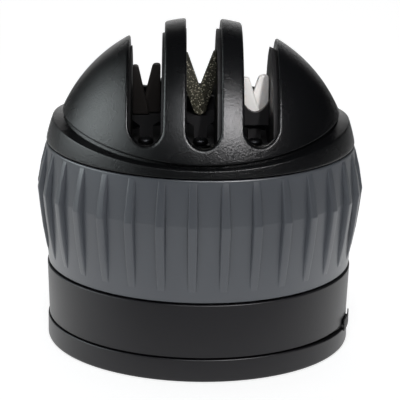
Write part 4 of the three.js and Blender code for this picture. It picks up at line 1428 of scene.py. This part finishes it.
@dataclass
class Mechanism:
    """Parts that lift the cup when the grip turns: guide tower, cam ring, stud, pin and spring."""

    spring_turns: float = 5.0
    wire: float = 0.45
    spring_radius: float = 3.9
    spring_low: float = 33.6
    spring_high: float = 39.2

    def build(self) -> None:
        """Dresses the plain parts and winds the spring."""
        dress_nodes(DARK_NYLON, "guide_tower", "grip_core", "head_deck")
        dress_nodes(NATURAL_ACETAL, "glide_ring", "cam_ring", "pull_stud")
        dress_nodes(PLATED_STEEL, "cam_pin", "deck_bolt")
        length = self.spring_high - self.spring_low - 2 * self.wire
        coil = baked("spring_coil", coil_tree(), {
            "Turns": self.spring_turns, "Radius": self.spring_radius * MM,
            "Low": (self.spring_low + self.wire) * MM, "Length": length * MM, "Wire": self.wire * MM,
            "Material": PLATED_STEEL.material()})
        piece = add_piece("spring_coil", coil, PLATED_STEEL, Body.ROOT, "return_spring", crisp=None)
        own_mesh(piece)


@dataclass(frozen=True)
class Lamp:
    """One lamp: a rectangular soft box, or a narrow spot where it has no size.

    Attributes:
        name: Its name.
        place: Its middle in millimetres.
        target: The point it faces in millimetres.
        power: Its power in watts.
        size: Its width and height in millimetres.
        tint: Its colour.
        lights: Whether it lights matt surfaces.
        mirrored: Whether glossy surfaces show it.
        beam: Opening of a spot's cone in radians.
        beam_blend: Share of the cone over which it fades.
        bulb: Radius of a spot's bulb in millimetres.
    """

    name: str
    place: Corner
    target: Corner
    power: float
    size: tuple[float, float] | None = None
    tint: Colour = (1.0, 1.0, 1.0)
    lights: bool = True
    mirrored: bool = True
    beam: float = math.radians(2.4)
    beam_blend: float = 0.5
    bulb: float = 20.0

    def build(self) -> None:
        """Places the lamp."""
        data = bpy.data.lights.new(self.name, "AREA" if self.size else "SPOT")
        data.energy, data.color = self.power, self.tint
        if self.size:
            data.shape, data.size, data.size_y = "RECTANGLE", self.size[0] * MM, self.size[1] * MM
        else:
            data.spot_size, data.spot_blend, data.shadow_soft_size = self.beam, self.beam_blend, self.bulb * MM
        lamp = placed(self.name, data)
        lamp.location = Vector(self.place) * MM
        lamp.rotation_euler = (Vector(self.target) - Vector(self.place)).to_track_quat("-Z", "Y").to_euler()
        lamp.visible_diffuse, lamp.visible_glossy = self.lights, self.mirrored


LAMPS = (
    Lamp("left_box", (-663, 70, 325), (0, 0, 45), 2.5, (600, 440), (0.92, 1.0, 1.01), lights=False),
    Lamp("left_wall", (-865, 30, 380), (0, 0, 45), 2.3, (1700, 920), (0.92, 1.0, 1.02), lights=False),
    Lamp("key_box", (308, -474, 640), (0, 0, 45), 6.6, (250, 370), (1.0, 0.985, 1.0), lights=False),
    Lamp("slot_box", (-20, -520, 740), (0, 0, 55), 2.1, (170, 440), (0.96, 1.0, 1.03)),
    Lamp("fill_box", (10, -520, 420), (0, 0, 60), 0.24, (150, 150), (1.0, 0.96, 0.96), mirrored=False),
    Lamp("slot_spot", (110, -500, 420), (12.6, -3, 61), 32.0, mirrored=False),
)


@dataclass
class Studio:
    """Camera, lamps, pale floor and white backdrop."""

    eye: tuple[float, float, float] = (0.12, -560.0, 195.58)
    azimuth: float = math.radians(-0.8)
    pitch: float = math.radians(16.05)
    roll: float = math.radians(0.965)
    lens: float = 210.4
    sensor: float = 36.0
    floor_grey: float = 0.5
    floor_roughness: float = 0.9
    floor_size: float = 1.2
    floor_gap: float = 0.05
    floor_glow: float = 0.75
    ambient_sides: tuple[float, float] = (-0.3, 0.7)
    ambient_front: float = 0.05
    ambient_back: float = 0.9
    backdrop: float = 1.0
    backdrop_rim: tuple[float, float] = (0.93, 0.995)
    backdrop_top: tuple[float, float] = (0.3, 0.42)
    # Painted light: a pool of glow on the floor round the object, which lights it and shows in its reflections.
    pool: float = 0.95
    pool_rim: tuple[float, float] = (0.12, 0.3)
    pool_front: float = 0.12
    pool_sides: tuple[float, float] = (-0.09, 0.0)
    painted_bounce: float = 1.6

    def build(self) -> None:
        """Sets up the view, the light and the floor."""
        self._camera()
        self._world()
        self._floor()
        for lamp in LAMPS:
            lamp.build()
        bpy.context.scene.view_settings.view_transform = "Standard"

    def _camera(self) -> None:
        """Camera that looks at the object as the photograph does."""
        data = bpy.data.cameras.new("view")
        data.lens, data.sensor_width = self.lens, self.sensor
        swing = Matrix.Rotation(self.azimuth, 3, "Z")
        look = swing @ Vector((0, math.cos(self.pitch), -math.sin(self.pitch)))
        side = swing @ Vector((1, 0, 0))
        right = math.cos(self.roll) * side + math.sin(self.roll) * side.cross(look)
        turn = Matrix((right, right.cross(look), -look)).transposed()
        camera = placed("view", data)
        camera.matrix_world = Matrix.Translation(swing @ Vector(self.eye) * MM) @ turn.to_4x4()
        bpy.context.scene.camera = camera

    def _world(self) -> None:
        """White where the camera, a mirror or a clear part looks past the object, softer as a light."""
        world = bpy.data.worlds.new("studio")
        world.use_nodes = True
        world.node_tree.nodes.clear()
        tree = Tree(world.node_tree)
        path = tree.add("ShaderNodeLightPath").outputs
        towards = tree.add("ShaderNodeTexCoord").outputs["Generated"]
        axes = tree.add("ShaderNodeSeparateXYZ", {0: towards}).outputs
        behind = tree.passage(axes["Y"], self.backdrop_rim, (0.0, self.backdrop))
        low = tree.passage(axes["Z"], self.backdrop_top, (1.0, 0.0))
        mirrored = tree.maths("MULTIPLY", path["Is Glossy Ray"], tree.maths("MULTIPLY", behind, low))
        ambient = tree.passage(axes["Y"], self.ambient_sides, (self.ambient_front, self.ambient_back))
        plain = tree.maths("MULTIPLY", path["Is Diffuse Ray"], ambient)
        whole = tree.maths("MAXIMUM", tree.seen(path), tree.maths("ADD", mirrored, plain))
        shade = tree.add("ShaderNodeBackground", {"Color": (1, 1, 1, 1), "Strength": whole})
        tree.add("ShaderNodeOutputWorld", {"Surface": shade.outputs[0]})
        bpy.context.scene.world = world

    def _floor(self) -> None:
        """Plain pale floor that keeps the shadow, glows round the object as painted bounce light and is clear
        from below.
        """
        half, drop = self.floor_size / 2, -self.floor_gap * MM
        mesh = bpy.data.meshes.new("floor")
        mesh.from_pydata([(x * half, y * half, drop) for x, y in ((-1, -1), (1, -1), (1, 1), (-1, 1))], [],
                         [(0, 1, 2, 3)])
        material = bpy.data.materials.new("floor")
        material.use_nodes = True
        tree, nodes = Tree(material.node_tree), material.node_tree.nodes
        shader = tree.fill(nodes["Principled BSDF"], {
            "Base Color": (self.floor_grey, self.floor_grey, self.floor_grey, 1),
            "Roughness": self.floor_roughness})
        path = tree.add("ShaderNodeLightPath").outputs
        place = tree.add("ShaderNodeTexCoord").outputs["Object"]
        axes = tree.add("ShaderNodeSeparateXYZ", {0: place}).outputs
        reach = tree.add("ShaderNodeVectorMath", {0: place}, operation="LENGTH")
        # Painted light: near the object the floor glows for diffuse rays (painted bounce) and for glossy rays
        # (painted reflection).
        near = tree.passage(reach.outputs["Value"], self.pool_rim, (self.pool, 0.0))
        beside = tree.passage(axes["Y"], self.pool_sides, (self.pool_front, 1.0))
        mirrored = tree.maths("MULTIPLY", path["Is Glossy Ray"], beside)
        plain = tree.maths("MULTIPLY", path["Is Diffuse Ray"], self.painted_bounce)
        pool_glow = tree.maths("MULTIPLY", tree.maths("MAXIMUM", mirrored, plain), near)
        whole = tree.maths("MAXIMUM", tree.seen(path), pool_glow)
        glow = tree.add("ShaderNodeEmission", {"Strength": tree.maths("MULTIPLY", whole, self.floor_glow)})
        both = tree.add("ShaderNodeAddShader", {0: shader.outputs[0], 1: glow.outputs[0]})
        sided = tree.add("ShaderNodeMixShader", {
            0: tree.add("ShaderNodeNewGeometry").outputs["Backfacing"], 1: both.outputs[0],
            2: tree.add("ShaderNodeBsdfTransparent").outputs[0]})
        tree.fill(nodes["Material Output"], {"Surface": sided.outputs[0]})
        mesh.materials.append(material)
        placed("floor", mesh)


def main() -> None:
    """Builds the pieces from the foot up, then the studio, logging each piece."""
    logging.basicConfig(level=logging.INFO, format="%(name)s: %(message)s")
    SuctionFoot().build()
    TwistGrip().build()
    DomeHead().build()
    SharpeningStages().build()
    Mechanism().build()
    Studio().build()


if __name__ == "__main__":
    main()
